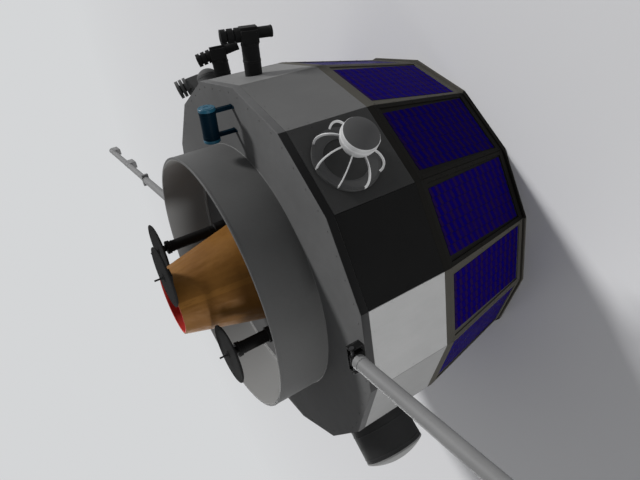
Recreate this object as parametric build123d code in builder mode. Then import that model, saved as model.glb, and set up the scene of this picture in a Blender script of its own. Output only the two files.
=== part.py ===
"""A small spin-stabilised research satellite, standing on its rear plate.

The body is a sixteen-sided drum: a tapered solar section below, a straight belt of instrument
panels above it, and a flat front deck. The deck carries a round launch adapter ring with a
nozzle shroud inside it, three plate antennas, a small canister and two hinged booms.
Millimetres. +Z runs up the drum's axis from the rear plate to the nozzle, and +X along boom A.
"""
from build123d import *
from math import atan2, cos, degrees, hypot, pi, radians, sin, tan
import os

os.makedirs("parts", exist_ok=True)

# Drum
SIDES = 16
BELT_R = 680.0           # axis to corner, along the instrument belt
SOLAR_REAR_R = 609.0     # axis to corner, where the solar section ends
REAR_PLATE_R = 615.0     # axis to corner
REAR_PLATE_T = 7.0
REAR_JOINT_R = 594.0     # recessed joint between the rear plate and the solar section
REAR_JOINT_H = 5.0
SOLAR_H = 404.0
BAND_H = 20.0
BELT_H = 271.0
DECK_T = 26.0
SKIN_T = 12.0            # level thickness of every side panel
SEAM = 1.2               # gap between neighbouring side panels

# Solar panels
FRAME_SIDE_W = 13.0
FRAME_END_W = 18.0
CELL_T = 8.0
CELL_GAP = 1.0

# Launch adapter ring
ADAPTER_R = 468.5
ADAPTER_WALL = 8.0
ADAPTER_H = 172.0

# Nozzle shroud and its liner
SHROUD_BASE_R = 200.0
SHROUD_TIP_R = 117.0
SHROUD_H = 331.0
SHROUD_WALL = 5.0
LINER_T = 3.0
LINER_DEPTH = 160.0
LINER_FLOOR_T = 6.0

# Plate antennas
PLATE_R = 102.0
PLATE_T = 4.0
PLATE_EDGE = 1.0
SPIKE_R = 3.0
SPIKE_H = 30.0
POST_FOOT_R = 27.0
POST_R = 21.0
POST_CAP_R = 25.0
POST_CAP_T = 14.0
POST_NECK_R = 12.0
POST_NECK_H = 26.0
ARM_W = 30.0
ARM_T = 20.0
# azimuth, distance from the axis, underside above the deck, height of the post's thick foot
PLATE_ON_POST = [
    (-26.5, 268.8, 248.0, 110.0),
    (154.8, 242.5, 281.0, 60.0),
]
ARM_PLATE_AZIMUTH = 58.0
ARM_PLATE_DISTANCE = 180.0
ARM_PLATE_RISE = 10.0    # underside above the shroud's rim

# Canister on two arms
CANISTER_AZIMUTH = 80.5
CANISTER_R = 25.0
CANISTER_L = 105.0
CANISTER_INSET = 87.0    # canister's middle, in from the deck's edge
CANISTER_RISE = 80.0     # canister's axis above the deck
CANISTER_ARM_W = 12.0
CANISTER_ARM_INSET = 15.0

# Finned masts on the belt
# panel's azimuth, place along the panel, height up the panel, azimuth the post points at,
# post's height, turn of the head about the post, dip of the horn, horn's length, fins' radius
MASTS = [
    (90.0, 0.0, 159.0, 81.0, 101.0, 15.0, 0.0, 62.0, 22.0),
    (112.5, -40.0, 178.0, 93.0, 78.0, 20.0, 11.0, 50.0, 22.0),
    (135.0, -50.0, 200.0, 120.0, 101.0, 22.0, 4.0, 44.0, 35.0),
]
MAST_R = 28.0
MAST_ROOT = 40.0         # the post's length left inside the panel before it is trimmed
HEAD_W = 54.0
HEAD_H = 38.0
HEAD_CAP_L = 54.0
HEAD_CAP_W = 34.0
HEAD_CAP_T = 9.0
HORN_RISE = 25.0         # horn's axis above the foot of the head
HORN_R = 16.0
FIN_COUNT = 3
FIN_GAP = 5.5            # between two fins of one horn
HORN_SINK = 6.0          # root of the horn, left inside the head before it is trimmed
STUB_R = 17.0
STUB_L = 47.0

# Rounded housing beside the masts
HOUSING_AZIMUTH = 112.5
HOUSING_ALONG = 24.0     # its middle, along the panel
HOUSING_UP = 210.0       # its middle, up the panel
HOUSING_R = 40.0
HOUSING_H = 54.0
HOUSING_DOME = 26.0      # how far its round end bulges

# Ball sensor
BALL_AZIMUTH = 45.0
BALL_UP = 155.0          # ball's middle, up the panel
BALL_R = 51.5
BALL_RISE = 105.0        # ball's centre above the panel
BALL_FACE = 17.0         # the flat outer face, beyond the centre
BALL_DOME = 4.0          # how far the outer face bulges
BALL_UNDERSIDE = 36.0    # the flat inner face, below the centre
HOOP_R = 98.0
HOOP_HOLE_R = 66.0
HOOP_T = 9.0
HOOP_LIP_W = 8.0
HOOP_LIP_T = 3.0         # thickness at the hole, where the hoop has sloped down
LEG_COUNT = 8
LEG_W = 3.0
LEG_T = 6.0
LEG_TOP_R = 45.0
LEG_TOP_RISE = 82.0
LEG_SHOULDER_R = 83.0
LEG_SHOULDER_RISE = 61.0
LEG_FOOT_R = 95.0

# Side drum
SIDE_DRUM_AZIMUTH = -45.0
SIDE_DRUM_R = 106.0
SIDE_DRUM_H = 131.0
SIDE_DRUM_DOME = 29.0    # how far its end bulges
SIDE_DRUM_UP = 164.0     # drum's middle, up the panel

# Booms and their hinges
HINGE_INSET = 9.0        # pin's axis, in from the deck's edge
HINGE_RISE = 35.0        # pin's axis above the deck
BOOM_RISE = 27.0         # boom's axis above the deck
ROOT_L = 10.0            # from the pin's axis to the start of the tube
INNER_TUBE_L = 822.0
OUTER_TUBE_L = 995.0
BOOM_R = 20.0
BOOM_OUTER_R = 17.5
FLANGE_T = 20.0
FLANGE_W = 68.0
FLANGE_H = 40.0
# inner end and outer end from the flange, width, depth below the boom's axis
BOOM_SENSORS = [
    (390.0, 495.0, 40.0, 44.0),
    (875.0, 995.0, 40.0, 44.0),
]
PIN_R = 4.0
PIN_RUNNING = 0.05       # radial clearance of the pin in the boom's root
PIN_HEAD_R = 6.5
PIN_HEAD_T = 3.0
BARREL_R = 9.0
ROOT_W = 28.0
ROOT_TOP = 6.0           # root block above the pin's axis
ROOT_BOTTOM = 20.0       # root block below the pin's axis
BRACKET_H = 42.0
BRACKET_W = 80.0
CHEEK_T = 4.0
BACK_T = 4.0
BACK_GAP = 6.0           # between the root's barrel and the back plate
CHEEK_REACH = 8.0        # cheeks, beyond the pin's axis
STOP_GAP = 0.3           # between the stop and the root block
STOP_H = 23.0

# Levels up the axis
SOLAR_Z = REAR_PLATE_T + REAR_JOINT_H
BAND_Z = SOLAR_Z + SOLAR_H
BELT_Z = BAND_Z + BAND_H
DECK_Z = BELT_Z + BELT_H
DECK_TOP = DECK_Z + DECK_T
BOOM_Z = DECK_TOP + BOOM_RISE
HINGE_Z = DECK_TOP + HINGE_RISE
SHROUD_TOP = DECK_TOP + SHROUD_H
BALL_Z = BELT_Z + BALL_UP
SIDE_DRUM_Z = BELT_Z + SIDE_DRUM_UP
HOUSING_Z = BELT_Z + HOUSING_UP

STEP = 360 / SIDES
FACET_COS = cos(pi / SIDES)
FACET_TAN = tan(pi / SIDES)
BELT_FACE = BELT_R * FACET_COS             # axis to the middle of a belt panel
SOLAR_REAR_FACE = SOLAR_REAR_R * FACET_COS
CANISTER_DISTANCE = BELT_FACE - CANISTER_INSET
HINGE_X = BELT_FACE - HINGE_INSET
CHEEK_END_X = HINGE_X + CHEEK_REACH
BOOM_START_X = HINGE_X + ROOT_L
BOOM_STEP_X = BOOM_START_X + INNER_TUBE_L   # where the thick inner tube meets the flange
FLANGE_END_X = BOOM_STEP_X + FLANGE_T
CORE_BELT_R = BELT_R - SKIN_T / FACET_COS
CORE_REAR_R = SOLAR_REAR_R - SKIN_T / FACET_COS
SOLAR_LEAN = atan2(BELT_FACE - SOLAR_REAR_FACE, SOLAR_H)
SOLAR_SLANT = hypot(BELT_FACE - SOLAR_REAR_FACE, SOLAR_H)


def outward_plane(azimuth, distance, z, lean=0.0):
    """A plane across a line that points out of the drum: x round the drum, y up, z outwards."""
    turn = radians(azimuth)
    outward = Vector(cos(lean) * cos(turn), cos(lean) * sin(turn), -sin(lean))
    origin = Vector(distance * cos(turn), distance * sin(turn), z)
    return Plane(origin=origin, x_dir=Vector(-sin(turn), cos(turn), 0), z_dir=outward)


def side_plane(outward, along):
    """A level plane through an outward line, moved along the panel: x round the drum, y outwards."""
    return Plane(origin=outward.origin + outward.x_dir * along, x_dir=outward.x_dir, z_dir=-outward.y_dir)


def level_point(azimuth, distance):
    """A point at this azimuth and distance from the axis, in a level sketch."""
    return (distance * cos(radians(azimuth)), distance * sin(radians(azimuth)))


def facet_slice(azimuth, face):
    """The level outline of one side panel: its outer face, its inner face and two mitred ends."""
    inner_face = face - SKIN_T
    outer_half = face * FACET_TAN - SEAM / 2
    inner_half = inner_face * FACET_TAN - SEAM / 2
    turn = radians(azimuth)
    corners = [(face, outer_half), (inner_face, inner_half), (inner_face, -inner_half), (face, -outer_half)]
    return [(u * cos(turn) - v * sin(turn), u * sin(turn) + v * cos(turn)) for u, v in corners]


def drum_outline(corner_radius):
    """The drum's sixteen-sided outline, with a facet square to +X."""
    RegularPolygon(corner_radius, SIDES, rotation=STEP / 2)


# ---- Drum ----------------------------------------------------------------------------------

with BuildPart() as rear_plate:
    with BuildSketch(Plane.XY):
        drum_outline(REAR_PLATE_R)
    extrude(amount=REAR_PLATE_T)

with BuildPart() as rear_joint:
    with BuildSketch(Plane.XY.offset(REAR_PLATE_T)):
        drum_outline(REAR_JOINT_R)
    extrude(amount=REAR_JOINT_H)

with BuildPart() as drum_core:
    with BuildSketch(Plane.XY.offset(SOLAR_Z)):
        drum_outline(CORE_REAR_R)
    with BuildSketch(Plane.XY.offset(BAND_Z)):
        drum_outline(CORE_BELT_R)
    loft(ruled=True)
    with BuildSketch(Plane.XY.offset(BAND_Z)):
        drum_outline(CORE_BELT_R)
    extrude(amount=DECK_Z - BAND_Z)

with BuildPart() as belt_band:
    with BuildSketch(Plane.XY.offset(BAND_Z)):
        drum_outline(BELT_R)
        RegularPolygon(CORE_BELT_R, SIDES, rotation=STEP / 2, mode=Mode.SUBTRACT)
    extrude(amount=BAND_H)

with BuildPart() as front_deck:
    with BuildSketch(Plane.XY.offset(DECK_Z)):
        drum_outline(BELT_R)
    extrude(amount=DECK_T)

# ---- Solar section: a frame with a window on each side, and a cell plate in each window ------

MID_FACE = (BELT_FACE + SOLAR_REAR_FACE) / 2
FRAME_DEPTH = SKIN_T * cos(SOLAR_LEAN)      # square to the leaning face
WINDOW_HALF_H = SOLAR_SLANT / 2 - FRAME_END_W
HALF_W_PER_RISE = (BELT_FACE - SOLAR_REAR_FACE) * FACET_TAN / SOLAR_SLANT


def window_outline(gap):
    """The window's four corners on the leaning face, this much smaller all round."""
    half_h = WINDOW_HALF_H - gap
    middle = MID_FACE * FACET_TAN - FRAME_SIDE_W - gap
    top = middle + HALF_W_PER_RISE * half_h
    bottom = middle - HALF_W_PER_RISE * half_h
    return [(-bottom, -half_h), (bottom, -half_h), (top, half_h), (-top, half_h)]


with BuildPart() as solar_frames:
    for number in range(SIDES):
        with BuildSketch(Plane.XY.offset(SOLAR_Z)):
            Polygon(*facet_slice(number * STEP, SOLAR_REAR_FACE), align=None)
        with BuildSketch(Plane.XY.offset(BAND_Z)):
            Polygon(*facet_slice(number * STEP, BELT_FACE), align=None)
        loft(ruled=True)
    for number in range(SIDES):
        with BuildSketch(outward_plane(number * STEP, MID_FACE, (SOLAR_Z + BAND_Z) / 2, SOLAR_LEAN)):
            Polygon(*window_outline(0), align=None)
        extrude(amount=SKIN_T, both=True, mode=Mode.SUBTRACT)

with BuildPart() as solar_cells:
    for number in range(SIDES):
        face = outward_plane(number * STEP, MID_FACE, (SOLAR_Z + BAND_Z) / 2, SOLAR_LEAN)
        with BuildSketch(face.offset(-FRAME_DEPTH)):
            Polygon(*window_outline(CELL_GAP), align=None)
        extrude(amount=CELL_T)

# ---- Instrument belt: plain panels in three finishes ------------------------------------------

# facet number round from +X, finish
BELT_FINISHES = {
    "white": [0, 8, 15],
    "grey": [3, 4, 5, 11, 12, 13],
    "dark": [1, 2, 6, 7, 9, 10, 14],
}

with BuildPart() as belt_panels_white:
    for number in BELT_FINISHES["white"]:
        with BuildSketch(Plane.XY.offset(BELT_Z)):
            Polygon(*facet_slice(number * STEP, BELT_FACE), align=None)
        extrude(amount=BELT_H)

with BuildPart() as belt_panels_grey:
    for number in BELT_FINISHES["grey"]:
        with BuildSketch(Plane.XY.offset(BELT_Z)):
            Polygon(*facet_slice(number * STEP, BELT_FACE), align=None)
        extrude(amount=BELT_H)

with BuildPart() as belt_panels_dark:
    for number in BELT_FINISHES["dark"]:
        with BuildSketch(Plane.XY.offset(BELT_Z)):
            Polygon(*facet_slice(number * STEP, BELT_FACE), align=None)
        extrude(amount=BELT_H)

# ---- Front deck's ring, shroud and liner ------------------------------------------------------

with BuildPart() as adapter_ring:
    with BuildSketch(Plane.XY.offset(DECK_TOP)):
        Circle(ADAPTER_R)
        Circle(ADAPTER_R - ADAPTER_WALL, mode=Mode.SUBTRACT)
    extrude(amount=ADAPTER_H)

SHROUD_SLOPE = (SHROUD_BASE_R - SHROUD_TIP_R) / SHROUD_H
LINER_TOP_R = SHROUD_TIP_R - SHROUD_WALL
LINER_BOTTOM_R = LINER_TOP_R + SHROUD_SLOPE * LINER_DEPTH

with BuildPart() as nozzle_shroud:
    with BuildSketch(Plane.XZ):
        with BuildLine():
            Polyline(
                (0, DECK_TOP),
                (SHROUD_BASE_R, DECK_TOP),
                (SHROUD_TIP_R, SHROUD_TOP),
                (LINER_TOP_R, SHROUD_TOP),
                (LINER_BOTTOM_R, SHROUD_TOP - LINER_DEPTH),
                (0, SHROUD_TOP - LINER_DEPTH),
                close=True,
            )
        make_face()
    revolve(axis=Axis.Z)

with BuildPart() as shroud_liner:
    with BuildSketch(Plane.XZ):
        with BuildLine():
            Polyline(
                (0, SHROUD_TOP - LINER_DEPTH),
                (LINER_BOTTOM_R, SHROUD_TOP - LINER_DEPTH),
                (LINER_TOP_R, SHROUD_TOP),
                (LINER_TOP_R - LINER_T, SHROUD_TOP),
                (LINER_BOTTOM_R - LINER_T, SHROUD_TOP - LINER_DEPTH + LINER_FLOOR_T),
                (0, SHROUD_TOP - LINER_DEPTH + LINER_FLOOR_T),
                close=True,
            )
        make_face()
    revolve(axis=Axis.Z)

# ---- Plate antennas: two on stepped posts, one on an arm from the shroud ------------------------

ARM_PLATE_UNDERSIDE = SHROUD_H + ARM_PLATE_RISE
# azimuth, distance from the axis, underside above the deck
PLATES = [(azimuth, distance, rise) for azimuth, distance, rise, foot in PLATE_ON_POST]
PLATES.append((ARM_PLATE_AZIMUTH, ARM_PLATE_DISTANCE, ARM_PLATE_UNDERSIDE))

with BuildPart() as antenna_plates:
    for azimuth, distance, rise in PLATES:
        place = level_point(azimuth, distance)
        with BuildSketch(Plane.XY.offset(DECK_TOP + rise)):
            with Locations(place):
                Circle(PLATE_R)
        extrude(amount=PLATE_T)
        with BuildSketch(Plane.XY.offset(DECK_TOP + rise + PLATE_T)):
            with Locations(place):
                Circle(SPIKE_R)
        extrude(amount=SPIKE_H)
    chamfer(antenna_plates.edges().filter_by(GeomType.CIRCLE).filter_by(
        lambda edge: abs(edge.radius - PLATE_R) < SPIKE_R), PLATE_EDGE)

with BuildPart() as antenna_posts:
    for azimuth, distance, rise, foot in PLATE_ON_POST:
        place = level_point(azimuth, distance)
        cap = rise - POST_NECK_H - POST_CAP_T
        # radius, bottom, top above the deck
        steps = [
            (POST_FOOT_R, 0, foot),
            (POST_R, foot, cap),
            (POST_CAP_R, cap, cap + POST_CAP_T),
            (POST_NECK_R, cap + POST_CAP_T, rise),
        ]
        for radius, bottom, top in steps:
            with BuildSketch(Plane.XY.offset(DECK_TOP + bottom)):
                with Locations(place):
                    Circle(radius)
            extrude(amount=top - bottom)

# The arm lies on the shroud's slope and holds the third plate by its middle.
ARM_BOTTOM_R = SHROUD_TIP_R + SHROUD_SLOPE * (ARM_T - ARM_PLATE_RISE)
ARM_END = ARM_PLATE_DISTANCE + ARM_W / 2

with BuildPart() as antenna_arm:
    turn = radians(ARM_PLATE_AZIMUTH)
    side = Plane(origin=(0, 0, DECK_TOP), x_dir=(cos(turn), sin(turn), 0), z_dir=(sin(turn), -cos(turn), 0))
    with BuildSketch(side):
        with BuildLine():
            Polyline(
                (ARM_BOTTOM_R, ARM_PLATE_UNDERSIDE - ARM_T),
                (ARM_END, ARM_PLATE_UNDERSIDE - ARM_T),
                (ARM_END, ARM_PLATE_UNDERSIDE),
                (SHROUD_TIP_R, ARM_PLATE_UNDERSIDE),
                (SHROUD_TIP_R, SHROUD_H),
                close=True,
            )
        make_face()
    extrude(amount=ARM_W / 2, both=True)
    with BuildSketch(Plane.XY.offset(DECK_TOP)):
        Circle(SHROUD_BASE_R)
    extrude(amount=SHROUD_H, taper=degrees(atan2(SHROUD_SLOPE, 1)), mode=Mode.SUBTRACT)

# ---- Canister on its two arms -------------------------------------------------------------------

CANISTER_Z = DECK_TOP + CANISTER_RISE
CANISTER_NEAR = CANISTER_DISTANCE - CANISTER_L / 2
CANISTER_ARMS = [
    CANISTER_NEAR + CANISTER_ARM_INSET,
    CANISTER_NEAR + CANISTER_L - CANISTER_ARM_INSET,
]

with BuildPart() as canister:
    with BuildSketch(outward_plane(CANISTER_AZIMUTH, CANISTER_NEAR, CANISTER_Z)):
        Circle(CANISTER_R)
    extrude(amount=CANISTER_L)

with BuildPart() as canister_arms:
    for distance in CANISTER_ARMS:
        with BuildSketch(outward_plane(CANISTER_AZIMUTH, distance - CANISTER_ARM_W / 2, DECK_TOP)):
            with Locations((0, CANISTER_RISE / 2)):
                Rectangle(CANISTER_ARM_W, CANISTER_RISE)
        extrude(amount=CANISTER_ARM_W)
    with BuildSketch(outward_plane(CANISTER_AZIMUTH, CANISTER_NEAR, CANISTER_Z)):
        Circle(CANISTER_R)
    extrude(amount=CANISTER_L, mode=Mode.SUBTRACT)

# ---- Finned masts ---------------------------------------------------------------------------------


def mast_foot(panel, along, up, pointing):
    """The place of one mast's foot: x round the drum, y up the drum, z out along its post."""
    turn = radians(panel)
    foot_x = BELT_FACE * cos(turn) - along * sin(turn)
    foot_y = BELT_FACE * sin(turn) + along * cos(turn)
    point = radians(pointing)
    outward = Vector(cos(point), sin(point), 0)
    around = Vector(-sin(point), cos(point), 0)
    return Plane(origin=(foot_x, foot_y, BELT_Z + up), x_dir=around, z_dir=outward).location


with BuildPart() as mast_posts:
    for panel, along, up, pointing, height, turned, dip, horn, fin in MASTS:
        foot = mast_foot(panel, along, up, pointing)
        with BuildSketch(Plane(foot * Pos(0, 0, -MAST_ROOT))):
            Circle(MAST_R)
        extrude(amount=MAST_ROOT + height)
    with BuildSketch(Plane.XY.offset(BELT_Z)):
        drum_outline(BELT_R)
    extrude(amount=BELT_H, mode=Mode.SUBTRACT)

with BuildPart() as mast_heads:
    for panel, along, up, pointing, height, turned, dip, horn, fin in MASTS:
        head = mast_foot(panel, along, up, pointing) * Pos(0, 0, height) * Rot(0, 0, -turned)
        with BuildSketch(Plane(head)):
            Rectangle(HEAD_W, HEAD_W)
        extrude(amount=HEAD_H)
        with BuildSketch(Plane(head * Pos(0, 0, HEAD_H))):
            Rectangle(HEAD_CAP_W, HEAD_CAP_L)
        extrude(amount=HEAD_CAP_T)

with BuildPart() as mast_horns:
    for panel, along, up, pointing, height, turned, dip, horn, fin in MASTS:
        middle = mast_foot(panel, along, up, pointing) * Pos(0, 0, height + HORN_RISE) * Rot(0, 0, -turned)
        axis = middle * Rot(-90 - dip, 0, 0)
        inside = HEAD_W / 2 - HORN_SINK
        # radius, bottom, top along the horn from the middle of the head
        steps = [(HORN_R, inside, HEAD_W / 2 + horn), (STUB_R, -HEAD_W / 2 - STUB_L, -inside)]
        fin_pitch = (horn + FIN_GAP) / FIN_COUNT
        for number in range(FIN_COUNT):
            bottom = HEAD_W / 2 + number * fin_pitch
            steps.append((fin, bottom, bottom + fin_pitch - FIN_GAP))
        for radius, bottom, top in steps:
            with BuildSketch(Plane(axis * Pos(0, 0, bottom))):
                Circle(radius)
            extrude(amount=top - bottom)
    add(mast_heads.part, mode=Mode.SUBTRACT)
    add(mast_posts.part, mode=Mode.SUBTRACT)

HOUSING_SIDE = side_plane(outward_plane(HOUSING_AZIMUTH, BELT_FACE, HOUSING_Z), HOUSING_ALONG)

with BuildPart() as rounded_housing:
    with BuildSketch(HOUSING_SIDE):
        with BuildLine():
            Polyline((0, HOUSING_H + HOUSING_DOME), (0, 0), (HOUSING_R, 0), (HOUSING_R, HOUSING_H))
            TangentArc((0, HOUSING_H + HOUSING_DOME), (HOUSING_R, HOUSING_H), tangent=(1, 0))
        make_face()
    revolve(axis=Axis(HOUSING_SIDE.origin, HOUSING_SIDE.y_dir))

# ---- Ball sensor ------------------------------------------------------------------------------------

BALL_PLANE = outward_plane(BALL_AZIMUTH, BELT_FACE, BALL_Z)
BALL_SIDE = side_plane(BALL_PLANE, 0)
BALL_AXIS = Axis(BALL_PLANE.origin, BALL_PLANE.z_dir)
FACE_R = (BALL_R ** 2 - BALL_FACE ** 2) ** 0.5
UNDERSIDE_R = (BALL_R ** 2 - BALL_UNDERSIDE ** 2) ** 0.5

with BuildPart() as ball_sensor:
    with BuildSketch(BALL_SIDE):
        with BuildLine():
            Line((0, BALL_RISE + BALL_FACE + BALL_DOME), (0, BALL_RISE - BALL_UNDERSIDE))
            Line((0, BALL_RISE - BALL_UNDERSIDE), (UNDERSIDE_R, BALL_RISE - BALL_UNDERSIDE))
            ThreePointArc(
                (UNDERSIDE_R, BALL_RISE - BALL_UNDERSIDE),
                (BALL_R, BALL_RISE),
                (FACE_R, BALL_RISE + BALL_FACE),
            )
            Line((FACE_R, BALL_RISE + BALL_FACE), (0, BALL_RISE + BALL_FACE + BALL_DOME))
        make_face()
    revolve(axis=BALL_AXIS)

with BuildPart() as ball_hoop:
    with BuildSketch(BALL_SIDE):
        with BuildLine():
            Polyline(
                (HOOP_HOLE_R, 0),
                (HOOP_R, 0),
                (HOOP_R, HOOP_T),
                (HOOP_R - HOOP_LIP_W, HOOP_T),
                (HOOP_HOLE_R, HOOP_LIP_T),
                close=True,
            )
        make_face()
    revolve(axis=BALL_AXIS)

with BuildPart() as ball_legs:
    for number in range(LEG_COUNT):
        turn = radians(number * 360 / LEG_COUNT)
        away = BALL_PLANE.x_dir * cos(turn) + BALL_PLANE.y_dir * sin(turn)
        side = Plane(origin=BALL_PLANE.origin, x_dir=away, z_dir=away.cross(BALL_PLANE.z_dir))
        with BuildLine(side) as path:
            ThreePointArc(
                (LEG_TOP_R, LEG_TOP_RISE),
                (LEG_SHOULDER_R, LEG_SHOULDER_RISE),
                (LEG_FOOT_R, HOOP_LIP_T),
            )
        with BuildSketch(Plane(origin=path.line @ 0, x_dir=side.z_dir, z_dir=path.line % 0)):
            Rectangle(LEG_W, LEG_T)
        sweep(path=path.line)
    add(ball_sensor.part, mode=Mode.SUBTRACT)
    add(ball_hoop.part, mode=Mode.SUBTRACT)

# ---- Side drum -----------------------------------------------------------------------------------------

DRUM_SIDE = side_plane(outward_plane(SIDE_DRUM_AZIMUTH, BELT_FACE, SIDE_DRUM_Z), 0)

with BuildPart() as side_drum:
    with BuildSketch(DRUM_SIDE):
        with BuildLine():
            Polyline((0, SIDE_DRUM_H + SIDE_DRUM_DOME), (0, 0), (SIDE_DRUM_R, 0), (SIDE_DRUM_R, SIDE_DRUM_H))
            TangentArc((0, SIDE_DRUM_H + SIDE_DRUM_DOME), (SIDE_DRUM_R, SIDE_DRUM_H), tangent=(1, 0))
        make_face()
    revolve(axis=Axis(DRUM_SIDE.origin, DRUM_SIDE.y_dir))

# ---- Booms: each on a pin between the two cheeks of a bracket on the deck's edge ---------------------------

BARREL_BACK_X = HINGE_X - BARREL_R
BACK_X = BARREL_BACK_X - BACK_GAP         # outer face of the back plate
PIN_L = BRACKET_W + 2 * PIN_HEAD_T
BOOM_DROP = HINGE_RISE - BOOM_RISE        # boom's axis below the pin's axis
# name, +1 along +X or -1 along -X
BOOMS = [("a", 1), ("b", -1)]

pieces = []
for name, way in BOOMS:
    across = Plane(origin=(way * HINGE_X, 0, HINGE_Z), x_dir=(way, 0, 0), z_dir=(0, -way, 0))
    along = Plane(origin=(0, 0, BOOM_Z), x_dir=(0, way, 0), z_dir=(way, 0, 0))

    with BuildPart() as back:
        with BuildSketch(Plane.XY.offset(DECK_TOP)):
            with Locations((way * (BACK_X - BACK_T / 2), 0)):
                Rectangle(BACK_T, BRACKET_W)
        extrude(amount=BRACKET_H)
    back.part.label = f"boom_{name}_back"
    pieces.append(back)

    with BuildPart() as cheeks:
        with BuildSketch(Plane.XY.offset(DECK_TOP)):
            with Locations((way * (BACK_X + CHEEK_END_X) / 2, 0)):
                Rectangle(CHEEK_END_X - BACK_X, BRACKET_W)
                Rectangle(CHEEK_END_X - BACK_X, BRACKET_W - 2 * CHEEK_T, mode=Mode.SUBTRACT)
        extrude(amount=BRACKET_H)
        with BuildSketch(across):
            Circle(PIN_R)
        extrude(amount=PIN_L, both=True, mode=Mode.SUBTRACT)
        with BuildSketch(Plane.XY.offset(DECK_TOP)):
            with Locations((way * (BACK_X + HINGE_X - STOP_GAP) / 2, 0)):
                Rectangle(HINGE_X - STOP_GAP - BACK_X, ROOT_W)
        extrude(amount=STOP_H)
    cheeks.part.label = f"boom_{name}_cheeks"
    pieces.append(cheeks)

    with BuildPart() as pin:
        with BuildSketch(across):
            Circle(PIN_R)
        extrude(amount=PIN_L / 2, both=True)
        for side in (1, -1):
            with BuildSketch(across.offset(side * (PIN_L / 2 - PIN_HEAD_T))):
                Circle(PIN_HEAD_R)
            extrude(amount=side * PIN_HEAD_T)
    pin.part.label = f"boom_{name}_pin"
    pieces.append(pin)

    with BuildPart() as root:
        with BuildSketch(across):
            Circle(BARREL_R)
        extrude(amount=ROOT_W / 2, both=True)
        with BuildSketch(along.offset(HINGE_X)):
            with Locations((0, BOOM_DROP + (ROOT_TOP - ROOT_BOTTOM) / 2)):
                Rectangle(ROOT_W, ROOT_TOP + ROOT_BOTTOM)
        extrude(amount=ROOT_L)
        with BuildSketch(across):
            Circle(PIN_R + PIN_RUNNING)
        extrude(amount=PIN_L, both=True, mode=Mode.SUBTRACT)
    root.part.label = f"boom_{name}_root"
    pieces.append(root)

    with BuildPart() as tube:
        with BuildSketch(along.offset(BOOM_START_X)):
            Circle(BOOM_R)
        extrude(amount=INNER_TUBE_L)
        with BuildSketch(along.offset(FLANGE_END_X)):
            Circle(BOOM_OUTER_R)
        extrude(amount=OUTER_TUBE_L)
    tube.part.label = f"boom_{name}_tube"
    pieces.append(tube)

    with BuildPart() as sensors:
        with BuildSketch(along.offset(BOOM_STEP_X)):
            Rectangle(FLANGE_W, FLANGE_H)
        extrude(amount=FLANGE_T)
        for inner, outer, width, depth in BOOM_SENSORS:
            with BuildSketch(along.offset(FLANGE_END_X + inner)):
                with Locations((0, -depth / 2)):
                    Rectangle(width, depth)
                Circle(BOOM_OUTER_R, mode=Mode.SUBTRACT)
            extrude(amount=outer - inner)
    sensors.part.label = f"boom_{name}_sensors"
    pieces.append(sensors)

named = {
    "rear_plate": rear_plate,
    "rear_joint": rear_joint,
    "drum_core": drum_core,
    "belt_band": belt_band,
    "front_deck": front_deck,
    "solar_frames": solar_frames,
    "solar_cells": solar_cells,
    "belt_panels_white": belt_panels_white,
    "belt_panels_grey": belt_panels_grey,
    "belt_panels_dark": belt_panels_dark,
    "adapter_ring": adapter_ring,
    "nozzle_shroud": nozzle_shroud,
    "shroud_liner": shroud_liner,
    "antenna_plates": antenna_plates,
    "antenna_posts": antenna_posts,
    "antenna_arm": antenna_arm,
    "canister": canister,
    "canister_arms": canister_arms,
    "mast_posts": mast_posts,
    "mast_heads": mast_heads,
    "mast_horns": mast_horns,
    "rounded_housing": rounded_housing,
    "ball_sensor": ball_sensor,
    "ball_hoop": ball_hoop,
    "ball_legs": ball_legs,
    "side_drum": side_drum,
}
for label, piece in named.items():
    piece.part.label = label
    pieces.append(piece)

for piece in pieces:
    export_step(piece.part, f"parts/{piece.part.label}.step")
    print(piece.part.label, round(piece.part.volume / 1000), "cm3")
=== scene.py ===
# %% [markdown]
# # Dressing a drum-shaped research satellite
# The satellite is a sixteen-sided drum that spins as it flies. A tapered section covered in solar
# cells stands at the bottom, a straight belt of instrument panels goes round above it, and a flat
# deck closes the top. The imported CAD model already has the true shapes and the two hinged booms.
# This lesson loads it, gives every surface its finish, and adds what is too fine for CAD: cells,
# screws, film, rims and covers.

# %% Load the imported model
import random
from math import atan2, cos, hypot, pi, radians, sin, tan

import bmesh
import bpy
from mathutils import Matrix, Vector, noise


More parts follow.
